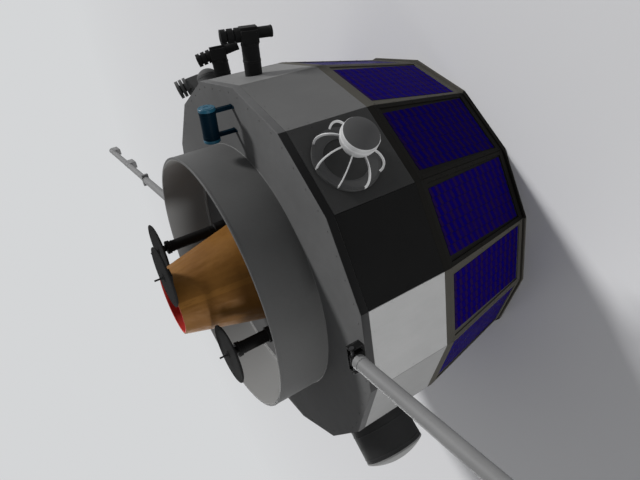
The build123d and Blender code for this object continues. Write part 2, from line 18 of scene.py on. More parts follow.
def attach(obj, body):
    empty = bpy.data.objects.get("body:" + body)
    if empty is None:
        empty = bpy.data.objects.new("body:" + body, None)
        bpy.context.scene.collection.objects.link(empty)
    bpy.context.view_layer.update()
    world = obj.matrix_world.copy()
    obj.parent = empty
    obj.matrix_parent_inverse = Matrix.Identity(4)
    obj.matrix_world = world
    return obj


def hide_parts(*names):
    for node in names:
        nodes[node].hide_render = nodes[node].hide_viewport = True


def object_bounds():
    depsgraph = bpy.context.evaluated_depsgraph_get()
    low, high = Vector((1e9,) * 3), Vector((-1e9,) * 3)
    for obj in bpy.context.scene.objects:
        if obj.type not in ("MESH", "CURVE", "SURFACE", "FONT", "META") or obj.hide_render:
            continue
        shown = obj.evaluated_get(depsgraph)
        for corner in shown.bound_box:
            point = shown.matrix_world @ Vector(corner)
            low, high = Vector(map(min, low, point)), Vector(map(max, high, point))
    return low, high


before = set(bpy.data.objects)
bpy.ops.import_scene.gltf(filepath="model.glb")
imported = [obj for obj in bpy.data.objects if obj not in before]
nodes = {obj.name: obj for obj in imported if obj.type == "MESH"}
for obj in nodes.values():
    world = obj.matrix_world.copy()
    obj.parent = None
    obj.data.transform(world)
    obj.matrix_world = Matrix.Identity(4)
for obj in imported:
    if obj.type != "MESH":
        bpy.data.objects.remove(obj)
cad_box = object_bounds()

print("nodes:", len(nodes), "box:", [round(v, 3) for v in (*cad_box[0], *cad_box[1])])

# %% [markdown]
# ## Camera
# The drum is seen from the front and a little from the side, with its axis lying across the
# view, so the camera is rolled. A rolled camera is plainest as a matrix whose columns are the
# camera's right, up and back directions, with its place as the last column.

# %% Place the camera
camera_right = Vector((0.535441, -0.142668, -0.832435))
camera_up = Vector((-0.317436, 0.879366, -0.354893))
camera_back = Vector((0.782648, 0.454270, 0.425561))
camera_place = Vector((1.542022, 0.895049, 1.290374))

camera_data = bpy.data.cameras.new("camera")
camera_data.sensor_width = 36.0
camera_data.lens = 27.864
camera = bpy.data.objects.new("camera", camera_data)
rolled = Matrix((camera_right, camera_up, camera_back)).transposed().to_4x4()
camera.matrix_world = Matrix.Translation(camera_place) @ rolled
bpy.context.scene.collection.objects.link(camera)
bpy.context.scene.camera = camera
print("camera", round(camera_place.length, 2), "m from the middle of the rear plate")

# %% [markdown]
# ## Shader nodes in one call
# A finish is a tree of small nodes, each with some settings and some inputs. An input takes either
# a plain value or a wire from another node. One helper fills the inputs of a node that is there,
# and one makes a new node and fills it, so that a finish reads like a recipe.

# %% Make and fill nodes
def fill(tree, made, inputs):
    """Sets a node's inputs, each to a plain value or to the socket of another node."""
    for name, value in dict(inputs).items():
        if isinstance(value, bpy.types.NodeSocket):
            tree.links.new(value, made.inputs[name])
        else:
            made.inputs[name].default_value = value


def node(tree, kind, inputs=(), **settings):
    """A new node of this kind, with its settings and its inputs."""
    made = tree.nodes.new(kind)
    for name, value in settings.items():
        setattr(made, name, value)
    fill(tree, made, inputs)
    return made


def finish_nodes(name):
    """A new material with its tree and its Principled shader."""
    material = bpy.data.materials.new(name)
    material.use_nodes = True
    tree = material.node_tree
    return material, tree, tree.nodes["Principled BSDF"]


print("helpers:", fill.__name__, node.__name__, finish_nodes.__name__)

# %% [markdown]
# ## Studio
# The satellite stands on its rear plate on a pale floor. The floor fades into the colour of the
# surroundings far out, so no line shows where it ends. A plain surround gives even light, one
# broad lamp shines from high on the +Y side, a weaker one from low beside boom A, and a last one
# keeps the far side from going dark.

# %% The surround
BACKDROP = (0.66, 0.67, 0.68, 1)
SURROUND_LIGHT = 0.26

world = bpy.data.worlds.new("studio_surround")
bpy.context.scene.world = world
world.use_nodes = True
tree = world.node_tree
tree.nodes.clear()
plain = {"Color": (0.97, 0.98, 1.0, 1), "Strength": SURROUND_LIGHT}
light = node(tree, "ShaderNodeBackground", plain).outputs[0]
seen = node(tree, "ShaderNodeBackground", {"Color": BACKDROP, "Strength": 1.0}).outputs[0]
ray = node(tree, "ShaderNodeLightPath")
sight = ray.outputs["Is Camera Ray"]
for kind in ("Is Glossy Ray", "Is Transmission Ray"):
    either = {0: sight, 1: ray.outputs[kind]}
    sight = node(tree, "ShaderNodeMath", either, operation="MAXIMUM").outputs[0]
choose = node(tree, "ShaderNodeMixShader", {0: sight, 1: light, 2: seen})
node(tree, "ShaderNodeOutputWorld", {"Surface": choose.outputs[0]})
print("surround light", SURROUND_LIGHT)

# %% The floor
FLOOR_R, FADE_START, FADE_END = 60.0, 2.0, 7.0

floor_mesh = bpy.data.meshes.new("studio_floor")
floor_shape = bmesh.new()
bmesh.ops.create_circle(floor_shape, cap_ends=True, segments=96, radius=FLOOR_R)
floor_shape.to_mesh(floor_mesh)
floor_shape.free()
studio_floor = bpy.data.objects.new("studio_floor", floor_mesh)
studio_floor.location.z = cad_box[0].z - 0.0005
bpy.context.scene.collection.objects.link(studio_floor)

floor_finish, tree, shader = finish_nodes("pale_floor")
floor_paint = {"Base Color": (0.7, 0.7, 0.71, 1), "Roughness": 0.9, "Specular IOR Level": 0.1}
fill(tree, shader, floor_paint)
far = node(tree, "ShaderNodeEmission", {"Color": BACKDROP}).outputs[0]
place = node(tree, "ShaderNodeTexCoord").outputs["Object"]
distance = node(tree, "ShaderNodeVectorMath", {0: place}, operation="LENGTH").outputs["Value"]
limits = {"Value": distance, "From Min": FADE_START, "From Max": FADE_END}
fade = node(tree, "ShaderNodeMapRange", limits).outputs["Result"]
mixed = node(tree, "ShaderNodeMixShader", {0: fade, 1: shader.outputs[0], 2: far})
tree.links.new(mixed.outputs[0], tree.nodes["Material Output"].inputs["Surface"])
floor_mesh.materials.append(floor_finish)
print("floor fades between", FADE_START, "and", FADE_END, "m")

# %% The lamps
# azimuth and elevation it shines from in degrees, strength, spread in degrees
LAMPS = {
    "high_lamp": (127, 34, 2.9, 8),
    "boom_side_lamp": (-44, 3, 1.5, 12),
    "far_side_lamp": (236, 10, 0.9, 30),
}
for name, (azimuth, elevation, strength, spread) in LAMPS.items():
    data = bpy.data.lights.new(name, "SUN")
    data.energy = strength
    data.angle = radians(spread)
    lamp = bpy.data.objects.new(name, data)
    turn, lift = radians(azimuth), radians(elevation)
    towards = Vector((cos(lift) * cos(turn), cos(lift) * sin(turn), sin(lift)))
    lamp.rotation_mode = "QUATERNION"
    lamp.rotation_quaternion = towards.to_track_quat("Z", "Y")
    bpy.context.scene.collection.objects.link(lamp)
bpy.context.scene.view_settings.view_transform = "Standard"
print("lamps:", *LAMPS)

# %% [markdown]
# ## Matt paint
# Most of the satellite wears matt thermal paint, sprayed on by hand. It is never one flat colour:
# there are broad clouds where the coat is thicker, a fine grain, and paler rubbed edges where
# hands and straps have touched it. Two noises at very different sizes mix the colour, a third
# one lifts the surface, and the Bevel node finds the edges by comparing a rounded normal with
# the true one. All sizes are in metres, because the texture is laid in object coordinates.

# %% Noise, mixing and edges
RUBBED_DOT, FLAT_DOT = 0.85, 0.985   # the two normals lie 32 and 10 degrees apart


def object_place(tree):
    """The socket of the object coordinates."""
    return node(tree, "ShaderNodeTexCoord").outputs["Object"]


def cloud(tree, size, detail=4.0, roughness=0.55, stretch=(1, 1, 1)):
    """A noise of this feature size in metres. Gives the socket of its grey value."""
    scaled = node(tree, "ShaderNodeMapping", {"Vector": object_place(tree), "Scale": stretch})
    look = {"Scale": 1 / size, "Detail": detail, "Roughness": roughness}
    look["Vector"] = scaled.outputs["Vector"]
    return node(tree, "ShaderNodeTexNoise", look).outputs["Fac"]


def ramp(tree, value, low, high, to_low=0.0, to_high=1.0):
    """Stretches a grey value between two limits."""
    limits = {"From Min": low, "From Max": high, "To Min": to_low, "To Max": to_high}
    return node(tree, "ShaderNodeMapRange", {"Value": value, **limits}).outputs["Result"]


def blend_colour(tree, amount, first, second, way="MIX"):
    """Mixes two colours, each a colour triple or a socket."""
    first, second = ((*c, 1) if isinstance(c, tuple) else c for c in (first, second))
    inputs = {"Factor": amount, 6: first, 7: second}
    return node(tree, "ShaderNodeMix", inputs, data_type="RGBA", blend_type=way).outputs[2]


def product(tree, first, second):
    """Multiplies two grey values."""
    return node(tree, "ShaderNodeMath", {0: first, 1: second}, operation="MULTIPLY").outputs[0]


def raise_surface(tree, shader, height, distance, strength=0.5):
    """Lifts the surface by a grey value, this many metres at most."""
    bump = {"Height": height, "Distance": distance, "Strength": strength}
    fill(tree, shader, {"Normal": node(tree, "ShaderNodeBump", bump).outputs["Normal"]})


def edge_mask(tree, radius):
    """1 along outer edges and 0 on flat faces."""
    rounded = node(tree, "ShaderNodeBevel", {"Radius": radius}, samples=6).outputs["Normal"]
    true = node(tree, "ShaderNodeNewGeometry").outputs["Normal"]
    match = node(tree, "ShaderNodeVectorMath", {0: rounded, 1: true}, operation="DOT_PRODUCT")
    return ramp(tree, match.outputs["Value"], FLAT_DOT, RUBBED_DOT)


def tone(colour, factor):
    """The colour made darker or lighter by a factor."""
    return tuple(min(1.0, channel * factor) for channel in colour)


def even(value):
    """A neutral grey."""
    return (value, value, value)


print("helpers:", cloud.__name__, ramp.__name__, blend_colour.__name__, edge_mask.__name__)


# %% A recipe for matt paint
def matt_paint(name, colour, worn, clouds=0.16, rough=0.62, wear=0.5, edge=0.0016, gloss=0.16):
    """Sprayed matt paint with broad clouds, fine grain and rubbed edges of the worn colour."""
    material, tree, shader = finish_nodes(name)
    broad = ramp(tree, cloud(tree, 0.22), 0.32, 0.68)
    streaks = ramp(tree, cloud(tree, 0.05, 6.0, 0.7, (1, 1, 0.35)), 0.35, 0.7)
    grain = cloud(tree, 0.0022, 2.0)
    coat = blend_colour(tree, broad, tone(colour, 1 - clouds), tone(colour, 1 + clouds))
    coat = blend_colour(tree, ramp(tree, streaks, 0, 1, 0, 0.35), coat, tone(colour, 0.8))
    coat = blend_colour(tree, ramp(tree, grain, 0.3, 0.7, 0, 0.18), coat, tone(colour, 1.35))
    touched = ramp(tree, cloud(tree, 0.02, 5.0), 0.38, 0.6, 0.1, wear)
    fill(tree, shader, {
        "Base Color": blend_colour(tree, product(tree, edge_mask(tree, edge), touched), coat, worn),
        "Roughness": ramp(tree, broad, 0, 1, rough - 0.08, rough + 0.1),
        "Specular IOR Level": gloss,
    })
    raise_surface(tree, shader, grain, 0.00025, 0.35)
    return material


print("recipe:", matt_paint.__name__)

# %% [markdown]
# ## Paints
# Each family of surfaces has its own paint, and some also carry painted light and shade. On the
# sides that have a black panel, the frame paint and the deck's edge get painted shade. The deck's
# edge on side 0 gets boom A's painted shadow, and two black panels get painted light. For these,
# the angle round the axis picks one shade out of sixteen. Painted shade on one white and two grey
# panels, and painted light on the third mast, begin where one coordinate passes a limit. Both ways
# leave the mesh alone, and both hold wherever the satellite stands.

# %% Painted light and shade past a limit
PAINTED_LIGHT_EDGE_W = 0.0005


def coat_socket(shader):
    """The socket that feeds the shader's colour."""
    return shader.inputs["Base Color"].links[0].from_socket


def paint_light_and_shade_beyond(material, axis, limit, amount, colour):
    """Mixes a colour in past the limit on this axis: painted shade if darker, painted light if
    lighter.
    """
    tree = material.node_tree
    shader = tree.nodes["Principled BSDF"]
    parts = node(tree, "ShaderNodeSeparateXYZ", {"Vector": object_place(tree)})
    past_limit = limit + (PAINTED_LIGHT_EDGE_W if limit > 0 else -PAINTED_LIGHT_EDGE_W)
    beyond = ramp(tree, parts.outputs[axis], limit, past_limit, 0, amount)
    fill(tree, shader, {"Base Color": blend_colour(tree, beyond, coat_socket(shader), colour)})


def paint_light_and_shade_by_side(material, shades):
    """Painted light and shade: multiplies the coat by one shade for each of the sixteen sides, from
    +X.
    """
    tree = material.node_tree
    shader = tree.nodes["Principled BSDF"]
    parts = node(tree, "ShaderNodeSeparateXYZ", {"Vector": object_place(tree)}).outputs
    around = node(tree, "ShaderNodeMath", {0: parts["Y"], 1: parts["X"]}, operation="ARCTAN2")
    half_step = 0.5 / len(shades)
    share = {0: around.outputs[0], 1: 0.5 / pi, 2: 1 + half_step}
    turns = node(tree, "ShaderNodeMath", share, operation="MULTIPLY_ADD").outputs[0]
    part_turn = node(tree, "ShaderNodeMath", {0: turns}, operation="FRACT").outputs[0]
    steps = node(tree, "ShaderNodeValToRGB", {"Fac": part_turn})
    stops = steps.color_ramp.elements
    steps.color_ramp.interpolation = "CONSTANT"
    stops.remove(stops[1])
    for number, shade in enumerate(shades):
        stop = stops[0] if number == 0 else stops.new(number / len(shades))
        stop.color = (*even(shade), 1)
    coat = coat_socket(shader)
    shaded = blend_colour(tree, 1.0, coat, steps.outputs["Color"], way="MULTIPLY")
    fill(tree, shader, {"Base Color": shaded})


print("painted light and shade:", paint_light_and_shade_beyond.__name__, paint_light_and_shade_by_side.__name__)

# %% Mix the paints
deck_paint = matt_paint("deck_grey_paint", even(0.117), (0.2, 0.2, 0.195), clouds=0.1, gloss=0.002)
deck_edge_paint = matt_paint("deck_edge_paint", even(0.11), even(0.2), gloss=0.06)
white_paint = matt_paint(
    "thermal_white_paint", (0.445, 0.445, 0.44), (0.52, 0.52, 0.51), clouds=0.05, gloss=0.1)
grey_paint = matt_paint("panel_grey_paint", (0.17, 0.17, 0.168), (0.28, 0.28, 0.275), clouds=0.08)
black_paint = matt_paint("thermal_black_paint", (0.043, 0.043, 0.0425), even(0.06), gloss=0.05)
antenna_paint = matt_paint(
    "antenna_dark_paint", (0.0085, 0.008, 0.008), even(0.045), clouds=0.2, gloss=0.08)
plate_paint = matt_paint("antenna_plate_paint", even(0.022), even(0.05), clouds=0.12, gloss=0.002)
mast_paint = matt_paint("mast_dark_paint", even(0.011), even(0.07), edge=0.0022, gloss=0.1)
# The bracket's strongly rubbed pale edges are partly real wear and partly a painted highlight.
bracket_paint = matt_paint("bracket_dark_paint", even(0.008), even(0.11), wear=0.85, gloss=0.06)
teal_paint = matt_paint(
    "canister_teal_paint", (0.0012, 0.0085, 0.016), (0.006, 0.045, 0.075), rough=0.45, gloss=0.02)
teal_cap_paint = matt_paint(
    "canister_cap_paint", (0.008, 0.075, 0.125), (0.02, 0.13, 0.19), rough=0.42, gloss=0.2)
boom_paint = matt_paint("boom_light_paint", even(0.18), even(0.34), clouds=0.08, rough=0.5)
frame_paint = matt_paint(
    "solar_frame_paint", (0.072, 0.068, 0.058), (0.16, 0.152, 0.13), clouds=0.12, gloss=0.06)
red_lacquer = matt_paint(
    "liner_red_lacquer", (0.44, 0.035, 0.027), (0.55, 0.1, 0.075), clouds=0.18, rough=0.5)
drum_paint = matt_paint("side_drum_paint", even(0.036), even(0.08), gloss=0.1)

SIDES = 16
BLACK_SIDES = (1, 2, 6, 7, 9, 10, 14)
PAST_CORNER = 0.1329   # sideways, just past a corner of the side that faces an axis
MAST_3_X = -0.36       # between the second mast and the third
# Painted shade: the white panel past the corner at -Y, on side 15, is darkened by about a third.
paint_light_and_shade_beyond(white_paint, "Y", -PAST_CORNER, 0.31, even(0.0))
# Painted shade: the grey panels past the corner at +X, on sides 3 and 13, are darkened.
paint_light_and_shade_beyond(grey_paint, "X", PAST_CORNER, 0.3, even(0.0))
# Painted light: the third mast, past MAST_3_X, is painted far lighter than the other two masts.
paint_light_and_shade_beyond(mast_paint, "X", MAST_3_X, 0.9, (0.095, 0.095, 0.094))
# Painted shade on the deck's edge: dark on the sides with a black panel, half as bright on side 0,
# where it paints boom A's shadow.
edge_painted_shade = [0.11 if side in BLACK_SIDES else 1.0 for side in range(SIDES)]
paint_light_and_shade_by_side(deck_edge_paint, [0.5] + edge_painted_shade[1:])
# Painted shade: the frame paint (frames, band, rear plate, cell plates, screws) is dark on black
# sides.
paint_light_and_shade_by_side(frame_paint, [0.14 if side in BLACK_SIDES else 1.0 for side in range(SIDES)])
# Painted light: the black paint is lighter on sides 2 and 10 than on the other sides.
paint_light_and_shade_by_side(black_paint, [{2: 1.0, 10: 0.67}.get(side, 0.23) for side in range(SIDES)])
print("paints:", sum(1 for m in bpy.data.materials if m.name.endswith(("paint", "lacquer"))))

# %% [markdown]
# ## Bare metal
# The adapter ring is turned from an aluminium forging, so faint turning lines run round it. Its
# outside wears a dark grey coat, and its inside gets painted light, much paler than the outside:
# the distance from the axis chooses.
# Pins are blackened steel, and the ball sensor is satin metal. The lines come from a wave texture
# of rings about the axis, pulled a little out of true by noise.

# %% A recipe for turned metal
def turned_metal(name, colour, metallic, rough, line=0.004, depth=0.00008):
    """Metal with fine turning lines stacked up the axis."""
    material, tree, shader = finish_nodes(name)
    look = {"Vector": object_place(tree), "Scale": 0.5 / line, "Distortion": 1.2, "Detail": 3.0}
    lines = node(tree, "ShaderNodeTexWave", look, bands_direction="Z").outputs["Fac"]
    broad = ramp(tree, cloud(tree, 0.18), 0.32, 0.68)
    spots = ramp(tree, cloud(tree, 0.012, 4.0, 0.65), 0.3, 0.75)
    coat = blend_colour(tree, broad, tone(colour, 0.9), tone(colour, 1.1))
    coat = blend_colour(tree, ramp(tree, lines, 0, 1, 0, 0.12), coat, tone(colour, 1.5))
    coat = blend_colour(tree, ramp(tree, spots, 0, 1, 0, 0.2), coat, tone(colour, 0.72))
    rubbed = product(tree, edge_mask(tree, 0.0015), ramp(tree, spots, 0, 1, 0.15, 0.7))
    fill(tree, shader, {
        "Base Color": blend_colour(tree, rubbed, coat, tone(colour, 2.0)),
        "Roughness": ramp(tree, broad, 0, 1, rough - 0.06, rough + 0.1),
        "Metallic": metallic,
        "Specular IOR Level": 0.3,
    })
    raise_surface(tree, shader, lines, depth, 0.5)
    return material


print("recipe:", turned_metal.__name__)

# %% Mix the metals
ADAPTER_R, ADAPTER_WALL, ADAPTER_H = 0.4685, 0.008, 0.172
RING_INSIDE_PAINTED_LIGHT = (0.3, 0.3, 0.295)
INSIDE_LIGHT_START_R, INSIDE_LIGHT_FULL_R = ADAPTER_R - 0.006, ADAPTER_R - 0.0073   # both within the ring's wall

ring_metal = turned_metal("adapter_ring_metal", (0.08, 0.08, 0.079), 0.0, 0.6)
tree = ring_metal.node_tree
shader = tree.nodes["Principled BSDF"]
level_place = {0: object_place(tree), 1: (1, 1, 0)}
flat = node(tree, "ShaderNodeVectorMath", level_place, operation="MULTIPLY").outputs["Vector"]
from_axis = node(tree, "ShaderNodeVectorMath", {0: flat}, operation="LENGTH").outputs["Value"]
# Painted light on the inner wall: inside the coat's edge the colour turns much paler.
inside = ramp(tree, from_axis, INSIDE_LIGHT_START_R, INSIDE_LIGHT_FULL_R, 0, 0.75)
coat = blend_colour(tree, inside, coat_socket(shader), RING_INSIDE_PAINTED_LIGHT)
fill(tree, shader, {"Base Color": coat})

ball_metal = turned_metal("ball_satin_metal", even(0.5), 0.2, 0.38, line=0.0015)
ball_face_metal = turned_metal("ball_face_metal", even(0.06), 0.0, 0.6, 0.0015, depth=0.00002)
leg_metal = turned_metal("ball_leg_metal", even(0.56), 0.1, 0.45, line=0.0015)
hoop_metal = turned_metal("ball_hoop_metal", even(0.05), 0.1, 0.5, line=0.002)
pin_steel = turned_metal("pin_turned_steel", (0.05, 0.05, 0.052), 0.4, 0.45, line=0.001)
hidden_metal = turned_metal("hidden_structure_metal", even(0.3), 0.5, 0.5)
print("metals:", sum(1 for m in bpy.data.materials if "metal" in m.name or "steel" in m.name))

# %% [markdown]
# ## Finish the CAD nodes
# A CAD node whose shape is right keeps its mesh and gets a new material in its slots. Machined
# parts have small softened edges that catch the light. The imported mesh has sharp ones, so a
# Weld modifier closes its seams, a Bevel modifier rounds edges sharper than 30 degrees, and a
# Weighted Normal modifier keeps the large faces flat to the eye.

# %% Give each node its finish
NODE_FINISH = [
    (frame_paint, "rear_plate belt_band solar_frames solar_cells"),
    (deck_paint, "front_deck rounded_housing"),
    (white_paint, "belt_panels_white"),
    (grey_paint, "belt_panels_grey"),
    (black_paint, "belt_panels_dark rear_joint"),
    (ring_metal, "adapter_ring"),
    (red_lacquer, "shroud_liner"),
    (plate_paint, "antenna_plates"),
    (antenna_paint, "antenna_posts antenna_arm"),
    (teal_paint, "canister canister_arms"),
    (mast_paint, "mast_posts mast_heads mast_horns"),
    (ball_metal, "ball_sensor"),
    (hoop_metal, "ball_hoop"),
    (leg_metal, "ball_legs"),
    (drum_paint, "side_drum"),
    (hidden_metal, "drum_core"),
    (boom_paint, "boom_a_tube boom_a_sensors boom_b_tube boom_b_sensors"),
    (bracket_paint, "boom_a_back boom_a_cheeks boom_a_root boom_b_back boom_b_cheeks boom_b_root"),
    (pin_steel, "boom_a_pin boom_b_pin"),
]
for finish, names in NODE_FINISH:
    for name in names.split():
        for holder in nodes[name].material_slots:
            holder.material = finish
print("finished", sum(len(names.split()) for finish, names in NODE_FINISH), "nodes")

# %% Soften the edges
MM = 0.001
# width of the rounded edge in millimetres, and the nodes that have it
SOFT_EDGES = [
    (0.8, "solar_frames"),
    (1.0, "belt_band belt_panels_white belt_panels_grey belt_panels_dark rear_plate"),
    (1.2, "adapter_ring antenna_arm"),
    (1.5, "front_deck mast_heads boom_a_sensors boom_b_sensors"),
    (2.0, "side_drum rounded_housing"),
    (2.5, "canister"),
]
for width, names in SOFT_EDGES:
    for name in names.split():
        weld = nodes[name].modifiers.new("close_seams", "WELD")
        weld.merge_threshold = 0.00002
        soften = nodes[name].modifiers.new("soft_edges", "BEVEL")
        soften.width = width * MM
        soften.segments = 2
        soften.limit_method = "ANGLE"
        soften.angle_limit = radians(30)
        soften.harden_normals = False
        flatten = nodes[name].modifiers.new("flat_shading", "WEIGHTED_NORMAL")
        flatten.keep_sharp = True
        flatten.weight = 100
print("softened", sum(len(names.split()) for width, names in SOFT_EDGES), "nodes")

# %% [markdown]
# ## Making pieces
# Every added piece is built in bmesh, in the satellite's own frame, and rides on a CAD body. A
# few helpers cover all the shapes: points on a bearing round the axis, frames of the side panels,
# a skin from one row of points to the next, and a lathe. Places and large sizes are in metres. A
# lathe's profile is in millimetres from a named radius and height, so that it reads like a
# turner's sketch.

# %% The drum's measures
BELT_R, SOLAR_REAR_R = 0.680, 0.609
SOLAR_Z, BAND_Z, BELT_Z, DECK_Z, DECK_TOP = 0.012, 0.416, 0.436, 0.707, 0.733
STEP = 2 * pi / SIDES
BELT_FACE = BELT_R * cos(pi / SIDES)
SOLAR_REAR_FACE = SOLAR_REAR_R * cos(pi / SIDES)
SOLAR_LEAN = atan2(BELT_FACE - SOLAR_REAR_FACE, BAND_Z - SOLAR_Z)
SOLAR_SLANT = hypot(BELT_FACE - SOLAR_REAR_FACE, BAND_Z - SOLAR_Z)
print("belt's flats", round(BELT_FACE, 4), "m out, solar panels", round(SOLAR_SLANT, 4), "m long")


# %% Helpers for places
def moved(x, y, z):
    """A shift by these distances."""
    return Matrix.Translation((x, y, z))


def rotated(angle, axis):
    """A turn by this angle in radians about the named axis."""
    return Matrix.Rotation(angle, 4, axis)


def bearing_point(turn, out, z, along=0.0):
    """The point on this bearing, this far out from the axis and this far along the side."""
    return Vector((out * cos(turn) - along * sin(turn), out * sin(turn) + along * cos(turn), z))


def outward_place(turn, distance, z, lean=0.0):
    """The frame of a side panel: x round the drum, y up the panel, z outwards."""
    outward = Vector((cos(lean) * cos(turn), cos(lean) * sin(turn), -sin(lean)))
    around = Vector((-sin(turn), cos(turn), 0))
    made = Matrix((around, outward.cross(around), outward)).transposed().to_4x4()
    made.translation = bearing_point(turn, distance, z)
    return made


def deck_place(azimuth, distance, above):
    """An upright frame at this azimuth in degrees, this far from the axis and above the deck."""
    return moved(*bearing_point(radians(azimuth), distance, DECK_TOP + above))


on_deck = deck_place(0, 0, 0)
upside_down = rotated(pi, "X")
print("deck's frame at", round(on_deck.translation.z, 3), "m")

# %% Helpers for shapes
ON_AXIS, LEAST_R = None, 1e-7


def skin(shape, rows, closed=True):
    """Faces from each row of points to the next. A row may shrink to a single point."""
    faces = []
    count = max(len(row) for row in rows)
    for low, high in zip(rows, rows[1:]):
        for number in range(count if closed else count - 1):
            after = (number + 1) % count
            corners = [low[number % len(low)], low[after % len(low)],
                       high[after % len(high)], high[number % len(high)]]
            corners = list(dict.fromkeys(corners))
            if len(corners) > 2:
                faces.append(shape.faces.new(corners))
    return faces


def lathe(shape, place, profile, segments, radius=0.0, height=0.0):
    """Turns a profile about the place's z axis, starting from a radius and a height in metres.
    Its points are (out, up) in millimetres from there, or (ON_AXIS, up)."""
    rows = []
    for out, up in profile:
        reach = 0.0 if out is ON_AXIS else radius + out * MM
        count = segments if reach > LEAST_R else 1
        turns = [2 * pi * number / count for number in range(count)]
        level = height + up * MM
        rows.append([shape.verts.new(place @ bearing_point(turn, reach, level)) for turn in turns])
    skin(shape, rows)


def raised_band(shape, place, radius, height, width, lift, soft, segments):
    """A band round a tube: its width, how proud it is and its softened edge in millimetres."""
    profile = [(0, 0), (lift, soft), (lift, width - soft), (0, width)]
    lathe(shape, place, profile, segments, radius, height)


print("helpers:", skin.__name__, lathe.__name__, raised_band.__name__)


# %% Turn a shape into a piece
def add_piece(name, shape, finish, slot, body="bus", crease=35):
    """Turns a bmesh into a piece with a finish, smooth but for edges sharper than crease."""
    mesh = bpy.data.meshes.new(name)
    bmesh.ops.recalc_face_normals(shape, faces=shape.faces)
    shape.to_mesh(mesh)
    shape.free()
    mesh.materials.append(finish)
    mesh.shade_smooth()
    mesh.set_sharp_from_angle(angle=radians(crease))
    piece = bpy.data.objects.new(name, mesh)
    bpy.context.scene.collection.objects.link(piece)
    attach(piece, body)
    mesh.calc_loop_triangles()
    print(name, len(mesh.loop_triangles), "triangles on", body)
    return piece


print("helper:", add_piece.__name__)

# %% [markdown]
# ## Solar cells
# Each leaning panel carries rows of glassy cells that run round the drum, each cell about 29 by
# 14 mm under its own cover glass and laid a little aslant. Neighbouring rows differ, one a deep
# blue and the next a greyer violet, and no two cells are quite the same. The field of cells is a
# true rectangle, so a wedge of the painted panel stays bare at both sides of its wide end. Each
# cell is a thin bevelled tile, a face attribute keeps its tone, and a dark sheet lies under all.

# %% Measure the field of cells
FRAME_END_W, FRAME_SIDE_W, FIELD_MARGIN = 0.018, 0.013, 0.004
FRAME_PROUD, CELL_PLATE_T = 0.012, 0.008
CELL_COLUMNS, CELL_ROWS = 7, 26
CELL_SEAM, CELL_TILE_T, CELL_BEVEL, CELL_SLANT = 0.0005, 0.0012, 0.0003, 0.5
SHEET_T, LEAST_CELL_H = 0.0004, 0.001
ROW_TONE, ROW_SPREAD, CELL_SPREAD = 0.36, 0.06, 0.12

half_height = SOLAR_SLANT / 2 - FRAME_END_W - FIELD_MARGIN
half_width = SOLAR_REAR_FACE * tan(pi / SIDES) - FRAME_SIDE_W - FIELD_MARGIN
middle_face = (BELT_FACE + SOLAR_REAR_FACE) / 2
field_floor = CELL_PLATE_T - FRAME_PROUD * cos(SOLAR_LEAN)
row_height = 2 * half_height / CELL_ROWS
solar_places = [outward_place(side * STEP, middle_face, (SOLAR_Z + BAND_Z) / 2, SOLAR_LEAN)
                for side in range(SIDES)]
print("field of cells", round(2 * half_width, 4), "by", round(2 * half_height, 4), "m")

# %% Lay the cells
random.seed(16)
cells, backing = bmesh.new(), bmesh.new()
cell_tone = cells.faces.layers.float.new("cell_tone")


def lay_tile(shape, panel, corners, low, high, bevel):
    """A thin tile on these four corners, with its top drawn in by the bevel. Gives its faces."""
    middle_x = sum(x for x, y in corners) / 4
    outer = [shape.verts.new(panel @ Vector((x, y, low))) for x, y in corners]
    inner = []
    for number, (x, y) in enumerate(corners):
        right = 1 if x > middle_x else -1
        up = 1 if number in (2, 3) else -1
        inner.append(shape.verts.new(panel @ Vector((x - bevel * right, y - bevel * up, high))))
    return [shape.faces.new(inner), *skin(shape, [outer, inner])]


for panel in solar_places:
    sheet = [(x * half_width, y * half_height) for x, y in ((-1, -1), (1, -1), (1, 1), (-1, 1))]
    lay_tile(backing, panel, sheet, field_floor, field_floor + SHEET_T, 0)
    row_tones = [random.uniform(-ROW_SPREAD, ROW_SPREAD) + (ROW_TONE if row % 2 else -ROW_TONE)
                 for row in range(CELL_ROWS + 1)]
    for column in range(CELL_COLUMNS):
        edges = [half_width * (2 * (column + across) / CELL_COLUMNS - 1)
                 + CELL_SEAM * (0.5 - across) for across in (0, 1)]
        for row in range(-1, CELL_ROWS + 1):
            corners = []
            for across, up in ((0, 0), (1, 0), (1, 1), (0, 1)):
                level = row + up + CELL_SLANT * (across - 0.5)
                y = -half_height + row_height * level + CELL_SEAM * (0.5 - up)
                corners.append((edges[across], max(-half_height, min(half_height, y))))
            right_h, left_h = corners[2][1] - corners[1][1], corners[3][1] - corners[0][1]
            if right_h < LEAST_CELL_H or left_h < LEAST_CELL_H:
                continue
            this_tone = 0.5 + row_tones[row] + random.uniform(-CELL_SPREAD, CELL_SPREAD)
            top = field_floor + CELL_TILE_T
            for face in lay_tile(cells, panel, corners, field_floor, top, CELL_BEVEL):
                face[cell_tone] = this_tone
print("cells:", len(cells.faces) // 5)

